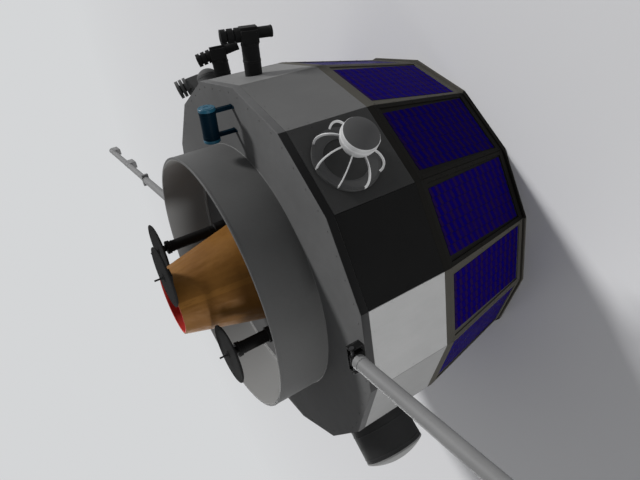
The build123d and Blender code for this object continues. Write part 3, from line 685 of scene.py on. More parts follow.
# %% Cover glass and backing
cell_glass, tree, shader = finish_nodes("cell_cover_glass")
own_tone = node(tree, "ShaderNodeAttribute", attribute_name="cell_tone").outputs["Fac"]
blue = blend_colour(tree, own_tone, (0.0028, 0.0002, 0.13), (0.0165, 0.0066, 0.046))
shimmer = ramp(tree, cloud(tree, 0.006, 3.0, 0.6, (1, 1, 0.4)), 0.4, 0.66, 0, 0.25)
fill(tree, shader, {
    "Base Color": blend_colour(tree, shimmer, blue, (0.008, 0.0012, 0.09)),
    "Roughness": ramp(tree, cloud(tree, 0.05), 0.3, 0.7, 0.24, 0.4),
    "Specular IOR Level": 0.003,
    "Specular Tint": (0.45, 0.3, 1.0, 1),
})
raise_surface(tree, shader, cloud(tree, 0.03), 0.0004, 0.2)
backing_paint = matt_paint(
    "cell_backing_paint", (0.004, 0.002, 0.02), (0.01, 0.008, 0.03), clouds=0.2, gloss=0.03)
add_piece("solar_cell_tiles", cells, cell_glass, "solar_cell")
add_piece("solar_cell_backing", backing, backing_paint, "solar_cell")

# %% [markdown]
# ## Screws
# Side panels, window frames and the deck are held by rows of small screws that stand slightly
# proud. One screw is a turned button with a hexagonal socket, far too small for CAD, and it is
# repeated along every edge. They are painted over with the panel they hold, so each panel family
# has its own piece of screws, in its own paint.

# %% Screws round the belt panels
BELT_PANELS = {
    "white": (white_paint, (0, 8, 15)),
    "grey": (grey_paint, (3, 4, 5, 11, 12, 13)),
    "dark": (black_paint, BLACK_SIDES),
}
# across the panel from -1 to 1, and up the panel from 0 to 1
BELT_SPOTS = [(x, up) for x in (-0.93, 0.93) for up in (0.05, 0.28, 0.5, 0.72, 0.95)]
BELT_SPOTS += [(x, up) for up in (0.04, 0.96) for x in (-0.46, 0.0, 0.46)]
SCREW_SUNK = 0.0004
half_panel = BELT_FACE * tan(pi / SIDES)


def screw_head(shape, place, radius, height):
    """A button head with a six-sided socket, its radius and height in millimetres."""
    hole, floor = radius * 0.45, height * 0.3
    button = [(radius, 0), (radius, height * 0.45), (radius * 0.72, height), (hole, height)]
    lathe(shape, place, button, 12)
    lathe(shape, place, [(hole, height), (radius * 0.4, floor), (ON_AXIS, floor)], 6)


def screw_circle(shape, place, circle, count, radius, height):
    """A ring of screws round the place's z axis, on a circle in metres."""
    for number in range(count):
        spot = moved(*bearing_point(2 * pi * number / count, circle, 0))
        screw_head(shape, place @ spot, radius, height)


for family, (paint, sides) in BELT_PANELS.items():
    belt_screws = bmesh.new()
    for side in sides:
        belt = outward_place(side * STEP, BELT_FACE, 0)
        for x, up in BELT_SPOTS:
            spot = moved(x * half_panel, BELT_Z + up * (DECK_Z - BELT_Z), -SCREW_SUNK)
            screw_head(belt_screws, belt @ spot, 2.6, 0.9)
    add_piece(f"belt_screws_{family}", belt_screws, paint, f"panel_{family}")

# %% Screws of the window frames and the deck
FRAME_SCREW_INSET, DECK_SCREW_INSET = 0.0065, 0.016
widening = (BELT_FACE - SOLAR_REAR_FACE) * tan(pi / SIDES) / SOLAR_SLANT

frame_screws, deck_screws = bmesh.new(), bmesh.new()
for side, panel in enumerate(solar_places):
    for share in (-0.94, -0.56, -0.19, 0.19, 0.56, 0.94):
        y = share * SOLAR_SLANT / 2
        edge = middle_face * tan(pi / SIDES) + widening * y - FRAME_SCREW_INSET
        for way in (-1, 1):
            screw_head(frame_screws, panel @ moved(way * edge, y, 0), 2.2, 1.0)
    for share in (-0.75, -0.25, 0.25, 0.75):
        out = BELT_FACE - DECK_SCREW_INSET
        spot = bearing_point(side * STEP, out, DECK_TOP, share * half_panel)
        screw_head(deck_screws, moved(*spot), 2.8, 1.2)
add_piece("solar_frame_screws", frame_screws, frame_paint, "panel_frame")
add_piece("deck_screws", deck_screws, deck_paint, "deck_grey")

# %% [markdown]
# ## Deck edge
# The deck's edge is closed all round by a strip bonded to the honeycomb. It is a thin
# sixteen-sided hoop with softened corners, a little proud of the belt. Its section is set up once
# at each corner of the drum, and a skin joins each section to the next.

# %% The strip round the deck
STRIP_PROUD, STRIP_T, STRIP_SOFT = 0.0006, 0.003, 0.0006
outer, low, high = BELT_FACE + STRIP_PROUD, DECK_Z + 0.0008, DECK_TOP - 0.0012
section = [(outer - STRIP_T, low), (outer - STRIP_SOFT, low), (outer, low + STRIP_SOFT),
           (outer, high - STRIP_SOFT), (outer - STRIP_SOFT, high), (outer - STRIP_T, high)]
edge_strip = bmesh.new()
rows = []
for side in range(SIDES):
    turn = (side + 0.5) * STEP
    rows.append([edge_strip.verts.new(bearing_point(turn, out / cos(pi / SIDES), z))
                 for out, z in section])
skin(edge_strip, rows + rows[:1])
add_piece("deck_edge_strip", edge_strip, deck_edge_paint, "deck_grey")

# %% [markdown]
# ## Shroud film
# The nozzle's shroud is a cone wrapped in amber film. Film drawn tight over a cone keeps faint
# creases that run down it, small dents, and straight overlap seams held with tape. The film is a
# fine grid turned round the cone, moved in and out by noise that is stretched down the slope,
# and it stands for the plain CAD cone. It folds over the rim and stops inside the mouth.

# %% Wrap the shroud
SHROUD_BASE_R, SHROUD_TIP_R, SHROUD_TOP = 0.200, 0.117, 1.064
SHROUD_H = SHROUD_TOP - DECK_TOP
FILM_ROUND, FILM_UP, FILM_SUNK = 288, 72, 0.0008
CREASE_H, DENT_H = 0.0007, 0.0004
# out from the cone's tip radius and up from its top, in millimetres, over the rim
RIM_FOLD = [(-1.5, -0.2), (-3.5, 0), (-5.2, -0.6), (-5.4, -6)]


def cone_radius(up):
    """The cone's radius at this share of its height."""
    return SHROUD_BASE_R + (SHROUD_TIP_R - SHROUD_BASE_R) * up


def film_radius(turn, up):
    """How far out the film lies, with creases down the slope and small dents."""
    creases = noise.noise(Vector((cos(turn) * 9, sin(turn) * 9, up * 1.6)))
    dents = noise.noise(Vector((cos(turn) * 22 + 7, sin(turn) * 22, up * 14)))
    calm_ends = min(1.0, 8 * up + 0.1, 10 * (1 - up) + 0.1)
    lift = (CREASE_H * creases + DENT_H * dents) * calm_ends
    return cone_radius(up) - FILM_SUNK + lift


film = bmesh.new()
turns = [2 * pi * number / FILM_ROUND for number in range(FILM_ROUND)]
rows = []
for row in range(FILM_UP + 1):
    up = row / FILM_UP
    z = DECK_TOP + SHROUD_H * up
    rows.append([film.verts.new(bearing_point(turn, film_radius(turn, up), z)) for turn in turns])
for out, up in RIM_FOLD:
    reach, z = SHROUD_TIP_R + out * MM, SHROUD_TOP + up * MM
    rows.append([film.verts.new(bearing_point(turn, reach, z)) for turn in turns])
skin(film, rows)
print("film:", len(film.faces), "faces")


# %% Coated film
def coated_film(name, dull, golden, sheen_size):
    """Film with a faint metal coat: amber in broad clouds, with a satin sheen."""
    material, tree, shader = finish_nodes(name)
    broad = ramp(tree, cloud(tree, 0.09, 5.0), 0.32, 0.68)
    fill(tree, shader, {
        "Base Color": blend_colour(tree, broad, dull, golden),
        "Roughness": ramp(tree, cloud(tree, sheen_size), 0.3, 0.7, 0.42, 0.6),
        "Metallic": 0.12,
        "Specular IOR Level": 0.16,
    })
    return material, tree, shader


amber_film, tree, shader = coated_film(
    "shroud_amber_film", (0.165, 0.068, 0.0095), (0.225, 0.1, 0.018), 0.03)
rub = ramp(tree, cloud(tree, 0.012, 6.0, 0.7, (1, 1, 0.3)), 0.45, 0.75, 0, 0.35)
rubbed = blend_colour(tree, rub, coat_socket(shader), (0.15, 0.06, 0.008))
fill(tree, shader, {"Base Color": rubbed})
raise_surface(tree, shader, cloud(tree, 0.012, 4.0, 0.6, (1, 1, 0.3)), 0.0006, 0.35)
shroud_film = add_piece("shroud_film", film, amber_film, "shroud_orange", crease=60)
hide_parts("nozzle_shroud")

# %% Tape the shroud's seams
SEAM_AZIMUTHS, SEAM_ROWS = (20, 140, 260), 40
TAPE_HALF_W, TAPE_LIFT, TAPE_EDGE_SUNK, TAPE_REACH = 0.011, 0.0002, -0.0012, 0.998

seam_tape = bmesh.new()
for seam in SEAM_AZIMUTHS:
    rows = []
    for row in range(SEAM_ROWS + 1):
        up = row / SEAM_ROWS
        line = []
        for across in (-1, -0.96, -0.5, 0, 0.5, 0.96, 1):
            turn = radians(seam) + across * TAPE_HALF_W / cone_radius(up)
            lift = TAPE_EDGE_SUNK if abs(across) == 1 else TAPE_LIFT
            z = DECK_TOP + SHROUD_H * up * TAPE_REACH
            point = bearing_point(turn, film_radius(turn, up) + lift, z)
            line.append(seam_tape.verts.new(point))
        rows.append(line)
    skin(seam_tape, rows, closed=False)
tape_film, tree, shader = coated_film(
    "shroud_seam_tape", (0.2, 0.085, 0.012), (0.28, 0.128, 0.026), 0.01)
raise_surface(tree, shader, cloud(tree, 0.005, 3.0), 0.0002, 0.4)
add_piece("shroud_seam_tapes", seam_tape, tape_film, "shroud_orange", crease=60)

# %% [markdown]
# ## Plate antennas
# Each plate antenna is a thin disc with a stub in its middle. A boss carries the stub, a low rim
# stiffens the disc on both faces, and a ring of small screws runs inside the rim. Under the two
# discs that stand on posts sits a hub with a flange. These are lathe work: a profile turned about
# the plate's own upright axis.

# %% Bosses, rims and screws of the plate antennas
PLATE_R, PLATE_T, SPIKE_R = 0.102, 0.004, 0.003
POST_NECK_R, HUB_FLANGE = 0.012, 0.0034
# azimuth, distance from the axis, underside above the deck, top of the post's foot if it has one
PLATES = [(-26.5, 0.2688, 0.248, 0.110), (154.8, 0.2425, 0.281, 0.060), (58.0, 0.180, 0.341, None)]

BOSS = [(10, 0), (10, 1.6), (8.8, 2.4), (3.2, 2.4), (2.6, 6), (1.6, 6.8), (0, 6.8)]
UPPER_RIM = [(-4.8, 0), (-5.2, 0.6), (-7.2, 0.6), (-7.6, 0)]
LOWER_RIM = [(-4.5, 0), (-4.5, -2.2), (-5.8, -3), (-9.2, -3), (-10.5, -2.2), (-10.5, 0)]
HUB = [(18, 0), (18, -2.4), (16.5, -3.4), (4.5, -3.4), (0.5, -7.5), (0, -7.5)]

plate_trim, plate_screws = bmesh.new(), bmesh.new()
for azimuth, distance, above, foot in PLATES:
    top = deck_place(azimuth, distance, above + PLATE_T)
    under = deck_place(azimuth, distance, above)
    lathe(plate_trim, top, BOSS, 48, SPIKE_R)
    lathe(plate_trim, top, UPPER_RIM, 96, PLATE_R)
    screw_circle(plate_screws, top, PLATE_R - 0.018, 12, 1.9, 0.9)
    lathe(plate_trim, under, LOWER_RIM, 96, PLATE_R)
    if foot:
        lathe(plate_trim, under, HUB, 48, POST_NECK_R)
        flange = under @ moved(0, 0, -HUB_FLANGE) @ upside_down
        screw_circle(plate_screws, flange, POST_NECK_R + 0.012, 8, 1.7, 1.1)
add_piece("antenna_plate_trim", plate_trim, plate_paint, "antenna_dark")
add_piece("antenna_plate_screws", plate_screws, plate_paint, "antenna_dark")

# %% [markdown]
# ## Antenna posts
# A post is a stack of tubes, each sleeved into the next, with a foot flange screwed to the deck.
# Seen close, every step has a rounded shoulder and a thin clamp ring, so those are added round
# the plain CAD steps.

# %% Shoulders, clamp rings and feet of the posts
POST_FOOT_R, POST_R, POST_CAP_R = 0.027, 0.021, 0.025
POST_CAP_T, POST_NECK_H = 0.014, 0.026
POST_FLANGE = [(0, 4.5), (1.5, 4.5), (10, 3.8), (11, 3), (11, 0)]

post_rings, post_screws = bmesh.new(), bmesh.new()
for azimuth, distance, above, foot in PLATES:
    if not foot:
        continue
    place = deck_place(azimuth, distance, 0)
    cap_top = above - POST_NECK_H
    cap = cap_top - POST_CAP_T
    lathe(post_rings, place, POST_FLANGE, 64, POST_FOOT_R)
    screw_circle(post_screws, place @ moved(0, 0, 0.0039), POST_FOOT_R + 0.0055, 8, 2.2, 1.4)
    for level, inner, outer in ((foot, POST_R, POST_FOOT_R), (cap_top, POST_NECK_R, POST_CAP_R)):
        drop = (inner - outer) / MM
        shoulder = [(0, -6), (0.8, -5.5), (0.8, -1.2), (-0.2, 0.4), (drop + 1.2, 0.4), (drop, 2)]
        lathe(post_rings, place, shoulder, 64, outer, level)
    for level in (cap - 0.012, foot + 0.018):
        raised_band(post_rings, place, POST_R, level, 6, 1.1, 0.6, 64)
add_piece("antenna_post_rings", post_rings, antenna_paint, "antenna_dark")
add_piece("antenna_post_screws", post_screws, antenna_paint, "antenna_dark")

# %% [markdown]
# ## Adapter ring
# The launcher's clamp grips the ring's front rim, which has a small raised bead round it. At the
# deck a foot flange turns inwards, with a bolt every few degrees, and outside only a thin bead of
# sealant shows. The bead and the foot are turned, and the bolts are one loop.

# %% Bead, foot and bolts of the adapter ring
SEALANT = [(0, 1.8), (0.6, 0.9), (1.4, 0.4), (1.8, 0)]
INWARD_FOOT = [(0, 6.2), (-1.2, 3.6), (-13.8, 3.2), (-14.5, 2.6), (-14.5, 0)]
RING_SEGMENTS, BOLT_COUNT = 360, 72
wall_inside = ADAPTER_R - ADAPTER_WALL

ring_trim, ring_bolts = bmesh.new(), bmesh.new()
raised_band(ring_trim, on_deck, ADAPTER_R, ADAPTER_H - 0.007, 6.4, 0.8, 0.8, RING_SEGMENTS)
lathe(ring_trim, on_deck, SEALANT, RING_SEGMENTS, ADAPTER_R)
lathe(ring_trim, on_deck, INWARD_FOOT, RING_SEGMENTS, wall_inside)
screw_circle(ring_bolts, on_deck @ moved(0, 0, 0.0032), wall_inside - 0.0082, BOLT_COUNT, 3, 1.8)
add_piece("adapter_ring_trim", ring_trim, ring_metal, "ring_metal")
add_piece("adapter_ring_bolts", ring_bolts, ring_metal, "ring_metal")

# %% [markdown]
# ## Canister
# The canister is a closed tube between two arms. Each end has a paler cap with a raised boss and
# a ring of screws, a strap holds the tube to each arm, and each arm stands on two small screwed
# feet. One turned profile makes the cap, and the far end gets the same one turned round.

# %% Caps, straps and arm feet of the canister
CANISTER_AZIMUTH, CANISTER_R, CANISTER_L = 80.5, 0.025, 0.105
CANISTER_DISTANCE, CANISTER_RISE = BELT_FACE - 0.087, 0.080
STRAP_PLACE = CANISTER_L / 2 - 0.015
CAP = [(0, -9), (1, -8.4), (1, -0.8), (-0.6, 0.8), (-7, 0.8), (-7.8, 1.8), (-16.5, 1.8),
       (-17, 0.8), (ON_AXIS, 0.8)]
ARM_FOOT = [(4.8, 0), (4.8, 1.2), (4.2, 1.6), (ON_AXIS, 1.6)]

bearing = radians(CANISTER_AZIMUTH)
tube = outward_place(bearing, CANISTER_DISTANCE, DECK_TOP + CANISTER_RISE)
canister_caps, canister_straps = bmesh.new(), bmesh.new()
for way in (1, -1):
    end = tube @ moved(0, 0, way * CANISTER_L / 2)
    if way < 0:
        end = end @ upside_down
    lathe(canister_caps, end, CAP, 64, CANISTER_R)
    screw_circle(canister_caps, end @ moved(0, 0, 0.0008), CANISTER_R - 0.0037, 8, 1.4, 0.8)
    strap = tube @ moved(0, 0, way * STRAP_PLACE)
    raised_band(canister_straps, strap, CANISTER_R, -0.0048, 9.6, 0.8, 0.6, 64)
    for x in (-0.0115, 0.0115):
        out = CANISTER_DISTANCE + way * STRAP_PLACE
        upright = moved(*bearing_point(bearing, out, DECK_TOP, x))
        lathe(canister_straps, upright, ARM_FOOT, 16)
        screw_head(canister_straps, upright @ moved(0, 0, 0.0016), 2.6, 1.6)
add_piece("canister_caps", canister_caps, teal_cap_paint, "canister_teal")
add_piece("canister_straps", canister_straps, teal_paint, "canister_teal")

# %% [markdown]
# ## Ball sensor
# The sensor is a hollow ball cut off by a flat outer face. The face is a smooth grey cap, slightly
# bulged, above a thin bright rolled rim. Each leg ends in a small pad on the hoop, and the hoop
# itself is screwed to the panel.

# %% Face and rims of the ball sensor
BALL_AZIMUTH, BALL_Z, BALL_RISE, BALL_R = 45.0, BELT_Z + 0.155, 0.105, 0.0515
BALL_FACE, FACE_BULGE, FACE_STEPS = 0.017, 0.010, 12
ROLLED_RIM = [(1.2, -3.8), (1.8, -3.2), (1.4, -1.6), (0.2, -1.2)]

ball_place = outward_place(radians(BALL_AZIMUTH), BELT_FACE, BALL_Z)
face_r = (BALL_R ** 2 - BALL_FACE ** 2) ** 0.5
face_foot = BALL_RISE + BALL_FACE
face_cap = [(0.6, -1.2)]
for step in range(FACE_STEPS + 1):
    share = 1 - step / FACE_STEPS
    rise = FACE_BULGE * (1 - share ** 2)
    face_cap.append(((share - 1) * face_r / MM, rise / MM + 0.5))
ball_face, ball_rim = bmesh.new(), bmesh.new()
lathe(ball_face, ball_place, face_cap, 96, face_r, face_foot)
lathe(ball_rim, ball_place, ROLLED_RIM, 96, face_r, face_foot)
raised_band(ball_rim, ball_place, BALL_R - 0.0002, BALL_RISE - 0.0032, 6.4, 0.9, 0.8, 96)
add_piece("ball_sensor_face", ball_face, ball_face_metal, "ball_metal")
add_piece("ball_sensor_rims", ball_rim, leg_metal, "ball_metal")

# %% Pads and screws of the hoop
HOOP_R, HOOP_HOLE_R, HOOP_T, HOOP_LIP_W, LEG_COUNT = 0.098, 0.066, 0.009, 0.008, 8
LEG_PAD = [(4.2, 0), (4.2, 0.8), (3.6, 1.2), (1.6, 1.2)]
HOLE_LIP = [(0, 0.6), (-0.8, 1.2), (-0.8, 3.2), (0.6, 4), (2.2, 3.7)]

hoop_trim = bmesh.new()
on_lip = moved(HOOP_R - HOOP_LIP_W / 2, 0, HOOP_T)
for number in range(LEG_COUNT):
    turn = 2 * pi * number / LEG_COUNT
    pad = ball_place @ rotated(turn, "Z") @ on_lip
    lathe(hoop_trim, pad, LEG_PAD, 24)
    screw_head(hoop_trim, pad @ moved(0, 0, 0.0009), 2.0, 1.0)
    screw_head(hoop_trim, ball_place @ rotated(turn + pi / LEG_COUNT, "Z") @ on_lip, 2.4, 1.3)
lathe(hoop_trim, ball_place, HOLE_LIP, 96, HOOP_HOLE_R)
add_piece("ball_hoop_trim", hoop_trim, hoop_metal, "ball_metal")

# %% [markdown]
# ## Side drum
# The side drum's wall is dark, and its bulged end is a cover with a rim of small rivets, painted
# much paler than the wall: painted light on the lit end. The cover is a thin dome turned about the
# drum's own axis, a little proud of the CAD dome. A foot ring spreads the drum's load on the belt
# panel.

# %% Cover, rivets and foot ring of the side drum
SIDE_DRUM_AZIMUTH, SIDE_DRUM_R, SIDE_DRUM_H, SIDE_DRUM_DOME = -45.0, 0.106, 0.131, 0.029
COVER_STEPS, RIVET_COUNT = 16, 36
RIVET = [(1.4, 0), (1.2, 0.6), (0.6, 0.9), (ON_AXIS, 1.0)]
DRUM_FOOT = [(0, 6.2), (1, 3.4), (10.8, 3), (11.5, 2.4), (11.5, 0)]

drum_place = outward_place(radians(SIDE_DRUM_AZIMUTH), BELT_FACE, BELT_Z + 0.164)
dome_r = (SIDE_DRUM_R ** 2 + SIDE_DRUM_DOME ** 2) / (2 * SIDE_DRUM_DOME)
cover = [(0.7, -6), (0.9, -0.8), (-0.8, 1)]
for step in range(1, COVER_STEPS + 1):
    radius = (SIDE_DRUM_R - 0.0008) * (1 - step / COVER_STEPS)
    rise = SIDE_DRUM_DOME - dome_r + (dome_r ** 2 - radius ** 2) ** 0.5
    cover.append(((radius - SIDE_DRUM_R) / MM, rise / MM + 0.7))
drum_cover, drum_trim = bmesh.new(), bmesh.new()
lathe(drum_cover, drum_place, cover, 128, SIDE_DRUM_R, SIDE_DRUM_H)
for number in range(RIVET_COUNT):
    round_axis = rotated(2 * pi * number / RIVET_COUNT, "Z")
    on_wall = moved(SIDE_DRUM_R + 0.0006, 0, SIDE_DRUM_H - 0.0035) @ rotated(pi / 2, "Y")
    lathe(drum_cover, drum_place @ round_axis @ on_wall, RIVET, 10)
lathe(drum_trim, drum_place, DRUM_FOOT, 128, SIDE_DRUM_R)
screw_circle(drum_trim, drum_place @ moved(0, 0, 0.003), SIDE_DRUM_R + 0.0064, 20, 2.4, 1.3)
for level in (0.030, 0.112):
    raised_band(drum_trim, drum_place, SIDE_DRUM_R, level, 4, 0.9, 0.6, 128)
# Painted light: the cover and its rivets are far paler than the drum's dark wall.
painted_light_cover_paint = matt_paint("drum_cover_paint", (0.27, 0.27, 0.266), (0.4, 0.4, 0.39), clouds=0.08)
add_piece("side_drum_cover", drum_cover, painted_light_cover_paint, "panel_white")
add_piece("side_drum_trim", drum_trim, drum_paint, "panel_grey")

# %% [markdown]
# ## Masts
# Each mast is a stout tube with a boxy head. A horn with cooling fins leaves one side of the
# head, and a plain stub the other. The masts' own frame follows from the same numbers as the CAD:
# foot, direction of the post, turn of the head and dip of the horn. Collars, head screws and a
# hollow mouth on horn and stub are then placed in that frame.

# %% Collars, screws and mouths of the masts
# azimuth of its panel, along the panel and up it, azimuth the post points to, the post's height,
# turn of the head, dip of the horn, the horn's length, the fins' radius
MASTS = [
    (90.0, 0.0, 0.159, 81.0, 0.101, 15.0, 0.0, 0.062, 0.022),
    (112.5, -0.040, 0.178, 93.0, 0.078, 20.0, 11.0, 0.050, 0.022),
    (135.0, -0.050, 0.200, 120.0, 0.101, 22.0, 4.0, 0.044, 0.035),
]
MAST_R, HEAD_W, HEAD_H, HORN_RISE, STUB_R, STUB_L = 0.028, 0.054, 0.038, 0.025, 0.017, 0.047
HEAD_SCREW_X, HEAD_SCREW_INSET, COLLAR_DROP = 0.0218, 0.006, 0.0085
STUB_MOUTH = [(0, -7), (1, -6.2), (1, -0.6), (-0.6, 0.9), (-4.5, 0.9), (-5.2, 0.3), (ON_AXIS, 0.3)]

mast_trim, mast_mouths = bmesh.new(), bmesh.new()
for azimuth, along, up, pointing, height, turned, dip, horn, fin in MASTS:
    point = radians(pointing)
    axes = ((-sin(point), 0, cos(point)), (cos(point), 0, sin(point)), (0, 1, 0))
    foot = Matrix(axes).to_4x4()
    foot.translation = bearing_point(radians(azimuth), BELT_FACE, BELT_Z + up, along)
    for level in (height - COLLAR_DROP, height * 0.42):
        raised_band(mast_trim, foot, MAST_R, level, 7, 1.1, 0.8, 48)
    head = foot @ moved(0, 0, height) @ rotated(-radians(turned), "Z")
    for way in (-1, 1):
        for y in (-0.0215, 0.0, 0.0215):
            screw_head(mast_trim, head @ moved(way * HEAD_SCREW_X, y, HEAD_H), 2.2, 1.4)
        for y in (-0.02, 0.02):
            for z in (HEAD_SCREW_INSET, HEAD_H - HEAD_SCREW_INSET):
                side = moved(way * HEAD_W / 2, y, z) @ rotated(way * pi / 2, "Y")
                screw_head(mast_trim, head @ side, 1.9, 1.1)
    axis = head @ moved(0, 0, HORN_RISE) @ rotated(-pi / 2 - radians(dip), "X")
    tip = axis @ moved(0, 0, HEAD_W / 2 + horn)
    bell = fin / MM
    mouth = [(bell * 0.62, 0), (bell * 0.6, 1.4), (bell * 0.5, 1.4), (bell * 0.48, 0.3)]
    lathe(mast_mouths, tip, mouth + [(ON_AXIS, 0.3)], 40)
    screw_circle(mast_mouths, tip, fin * 0.82, 8, 1.3, 0.8)
    stub = axis @ moved(0, 0, -HEAD_W / 2 - STUB_L) @ upside_down
    lathe(mast_mouths, stub, STUB_MOUTH, 40, STUB_R)
add_piece("mast_trim", mast_trim, mast_paint, "mast_grey")
add_piece("mast_mouths", mast_mouths, mast_paint, "mast_grey")

# %% [markdown]
# ## Rounded housing
# Beside the masts sits a short round housing with a bulged end. A foot ring with screws holds it
# to its panel, and a seam ring shows where the bulged end is closed.

# %% Foot ring and seam of the rounded housing
HOUSING_R, HOUSING_H, HOUSING_AZIMUTH, HOUSING_ALONG = 0.040, 0.054, 112.5, 0.024
HOUSING_FOOT = [(0, 5), (1, 2.8), (7.8, 2.4), (8.4, 1.8), (8.4, 0)]

panel_place = outward_place(radians(HOUSING_AZIMUTH), BELT_FACE, BELT_Z + 0.210)
housing_place = panel_place @ moved(HOUSING_ALONG, 0, 0)
housing_trim = bmesh.new()
lathe(housing_trim, housing_place, HOUSING_FOOT, 64, HOUSING_R)
on_flange = housing_place @ moved(0, 0, 0.0024)
screw_circle(housing_trim, on_flange, HOUSING_R + 0.0046, 10, 1.9, 1.2)
raised_band(housing_trim, housing_place, HOUSING_R, HOUSING_H - 0.008, 5, 0.9, 0.8, 64)
add_piece("housing_trim", housing_trim, deck_paint, "deck_grey")

# %% [markdown]
# ## Booms
# A boom is two tubes joined by a bolted flange, with two small sensor boxes under the outer tube.
# The boxes have a lid plate with corner screws on each side, and two straps go over the tube. All
# of this swings with the boom, so each set of pieces rides on its own boom's body.

# %% Measures and lids of the booms
HINGE_X, BOOM_Z, BOOM_R, BOOM_OUTER_R = BELT_FACE - 0.009, DECK_TOP + 0.027, 0.020, 0.0175
BOOM_START_X = HINGE_X + 0.010
BOOM_STEP_X = BOOM_START_X + 0.822
FLANGE_END_X = BOOM_STEP_X + 0.020
STEP_COLLAR = [(0, -16), (1.2, -15), (1.2, 0), (0, 0)]
OUTER_COLLAR = [(0, 0), (2, 0), (2, 12), (0, 14)]
# where each sensor box begins and ends, counted from the flange
SENSOR_SPANS, SENSOR_W, SENSOR_D = [(0.390, 0.495), (0.875, 0.995)], 0.040, 0.044
# how far the lid's surface stands out, and how far in from its edge
LID_STEPS = [(-0.0002, 0), (0.0009, 0.0002), (0.0013, 0.0009)]
LID_CORNERS = ((-1, -1), (1, -1), (1, 1), (-1, 1))
LID_T, LID_SCREW_INSET = 0.0013, 0.004


def add_lid(shape, lid, side, tall, long):
    """A thin lid plate on one side of a sensor box, with a screw at each corner."""
    rows = [[shape.verts.new(lid @ Vector((side * lift, y * (tall - inset), z * (long - inset))))
             for y, z in LID_CORNERS] for lift, inset in LID_STEPS]
    skin(shape, rows)
    shape.faces.new(rows[-1])
    for y in (LID_SCREW_INSET - tall, tall - LID_SCREW_INSET):
        for z in (LID_SCREW_INSET - long, long - LID_SCREW_INSET):
            spot = moved(side * LID_T, y, z) @ rotated(side * pi / 2, "Y")
            screw_head(shape, lid @ spot, 1.6, 1.0)


print("booms' tubes are joined", round(BOOM_STEP_X, 4), "m out")

# %% Flange bolts, straps and tube collars of each boom
for boom, way in (("a", 1), ("b", -1)):
    along = Matrix(((0, 0, way), (way, 0, 0), (0, 1, 0))).to_4x4()
    along.translation = (0, 0, BOOM_Z)
    bolts, lids = bmesh.new(), bmesh.new()
    for x in (-0.0275, 0.0275):
        for y in (-0.0125, 0.0125):
            screw_head(bolts, along @ moved(x, y, FLANGE_END_X), 3.4, 2.4)
            screw_head(bolts, along @ moved(x, y, BOOM_STEP_X) @ upside_down, 3.4, 2.4)
    raised_band(bolts, along, BOOM_R, BOOM_START_X + 0.004, 17, 1.4, 1.0, 64)
    lathe(bolts, along, STEP_COLLAR, 64, BOOM_R, BOOM_STEP_X)
    lathe(bolts, along, OUTER_COLLAR, 64, BOOM_OUTER_R, FLANGE_END_X)
    for start, end in SENSOR_SPANS:
        middle = FLANGE_END_X + (start + end) / 2
        for side in (1, -1):
            lid = along @ moved(side * SENSOR_W / 2, -SENSOR_D / 2 - 0.004, middle)
            add_lid(lids, lid, side, SENSOR_D / 2 - 0.009, (end - start) / 2 - 0.005)
        for level in (FLANGE_END_X + start + 0.012, FLANGE_END_X + end - 0.020):
            raised_band(lids, along, BOOM_OUTER_R, level, 8, 1.0, 0.8, 64)
    add_piece(f"boom_{boom}_collars", bolts, boom_paint, "boom_grey", body=f"boom_{boom}")
    add_piece(f"boom_{boom}_sensor_lids", lids, boom_paint, "sensor_grey", body=f"boom_{boom}")

# %% [markdown]
# ## Hinge brackets
# Each bracket is a folded box with a back plate and two cheeks, open outwards. Washers sit under
# the pin's two heads, small screws join each cheek to the back plate, and four larger ones go
# through the back plate itself.

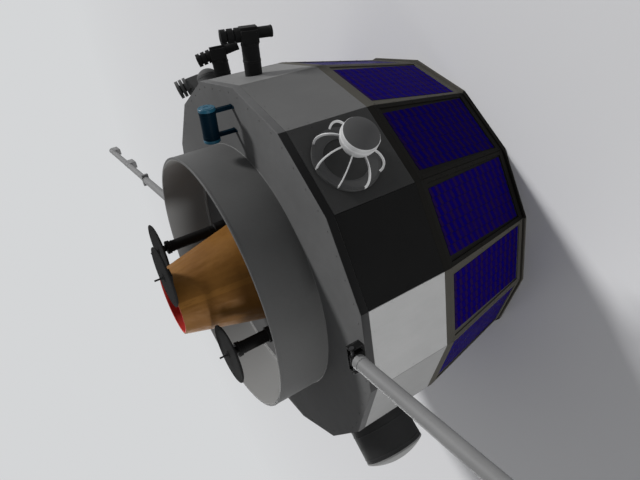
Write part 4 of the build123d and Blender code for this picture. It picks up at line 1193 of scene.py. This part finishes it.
# %% Washers and screws of the hinge brackets
HINGE_Z, BRACKET_W, BACK_T = DECK_TOP + 0.035, 0.080, 0.004
back_x = HINGE_X - 0.015
WASHER = [(7.8, 0), (7.8, 0.8), (7.4, 1), (6.4, 1)]
for boom, way in (("a", 1), ("b", -1)):
    bracket_bits = bmesh.new()
    for side in (1, -1):
        sideways, y = rotated(-side * pi / 2, "X"), side * BRACKET_W / 2
        lathe(bracket_bits, moved(way * HINGE_X, y, HINGE_Z) @ sideways, WASHER, 32)
        for z in (0.007, 0.028):
            spot = moved(way * (back_x - BACK_T / 2), y, DECK_TOP + z) @ sideways
            screw_head(bracket_bits, spot, 1.4, 0.9)
    inwards = rotated(-way * pi / 2, "Y")
    for y in (-0.026, 0.026):
        for z in (0.01, 0.031):
            back = moved(way * (back_x - BACK_T), y, DECK_TOP + z) @ inwards
            screw_head(bracket_bits, back, 2.2, 1.4)
    add_piece(f"boom_{boom}_bracket_screws", bracket_bits, bracket_paint, "bracket_dark")

# %% [markdown]
# ## Nozzle mouth and shroud foot
# The red liner ends under a rolled lip at the mouth, and three beads further down stiffen it.
# Round the shroud's foot a ring with small screws clamps the film to the deck. They are turned
# rings and a loop of screws again.

# %% Lip and beads of the liner, foot of the shroud
LINER_TOP_R, LINER_T, BEAD_DEPTHS = 0.112, 0.003, (0.045, 0.09, 0.13)
LIP = [(2.8, -0.4), (2.2, 0.8), (0.8, 1), (-0.6, -0.4), (-0.2, -3)]
BEAD = [(0, 2), (-1.2, 1), (-1.2, -1), (0.2, -2)]
CLAMP_RING = [(-0.5, 6), (1.2, 3), (10, 2.6), (10.6, 2), (10.6, 0)]
slope = (SHROUD_BASE_R - SHROUD_TIP_R) / SHROUD_H
liner_inside = LINER_TOP_R - LINER_T

mouth, shroud_foot = bmesh.new(), bmesh.new()
lathe(mouth, moved(0, 0, SHROUD_TOP), LIP, 128, liner_inside)
for depth in BEAD_DEPTHS:
    radius = liner_inside + slope * depth
    lathe(mouth, moved(0, 0, SHROUD_TOP), BEAD, 128, radius, -depth)
lathe(shroud_foot, on_deck, CLAMP_RING, 160, SHROUD_BASE_R)
screw_circle(shroud_foot, on_deck @ moved(0, 0, 0.0026), SHROUD_BASE_R + 0.0062, 36, 2.1, 1.2)
add_piece("liner_lip", mouth, red_lacquer, "liner_red")
add_piece("shroud_foot_ring", shroud_foot, deck_paint, "deck_grey")
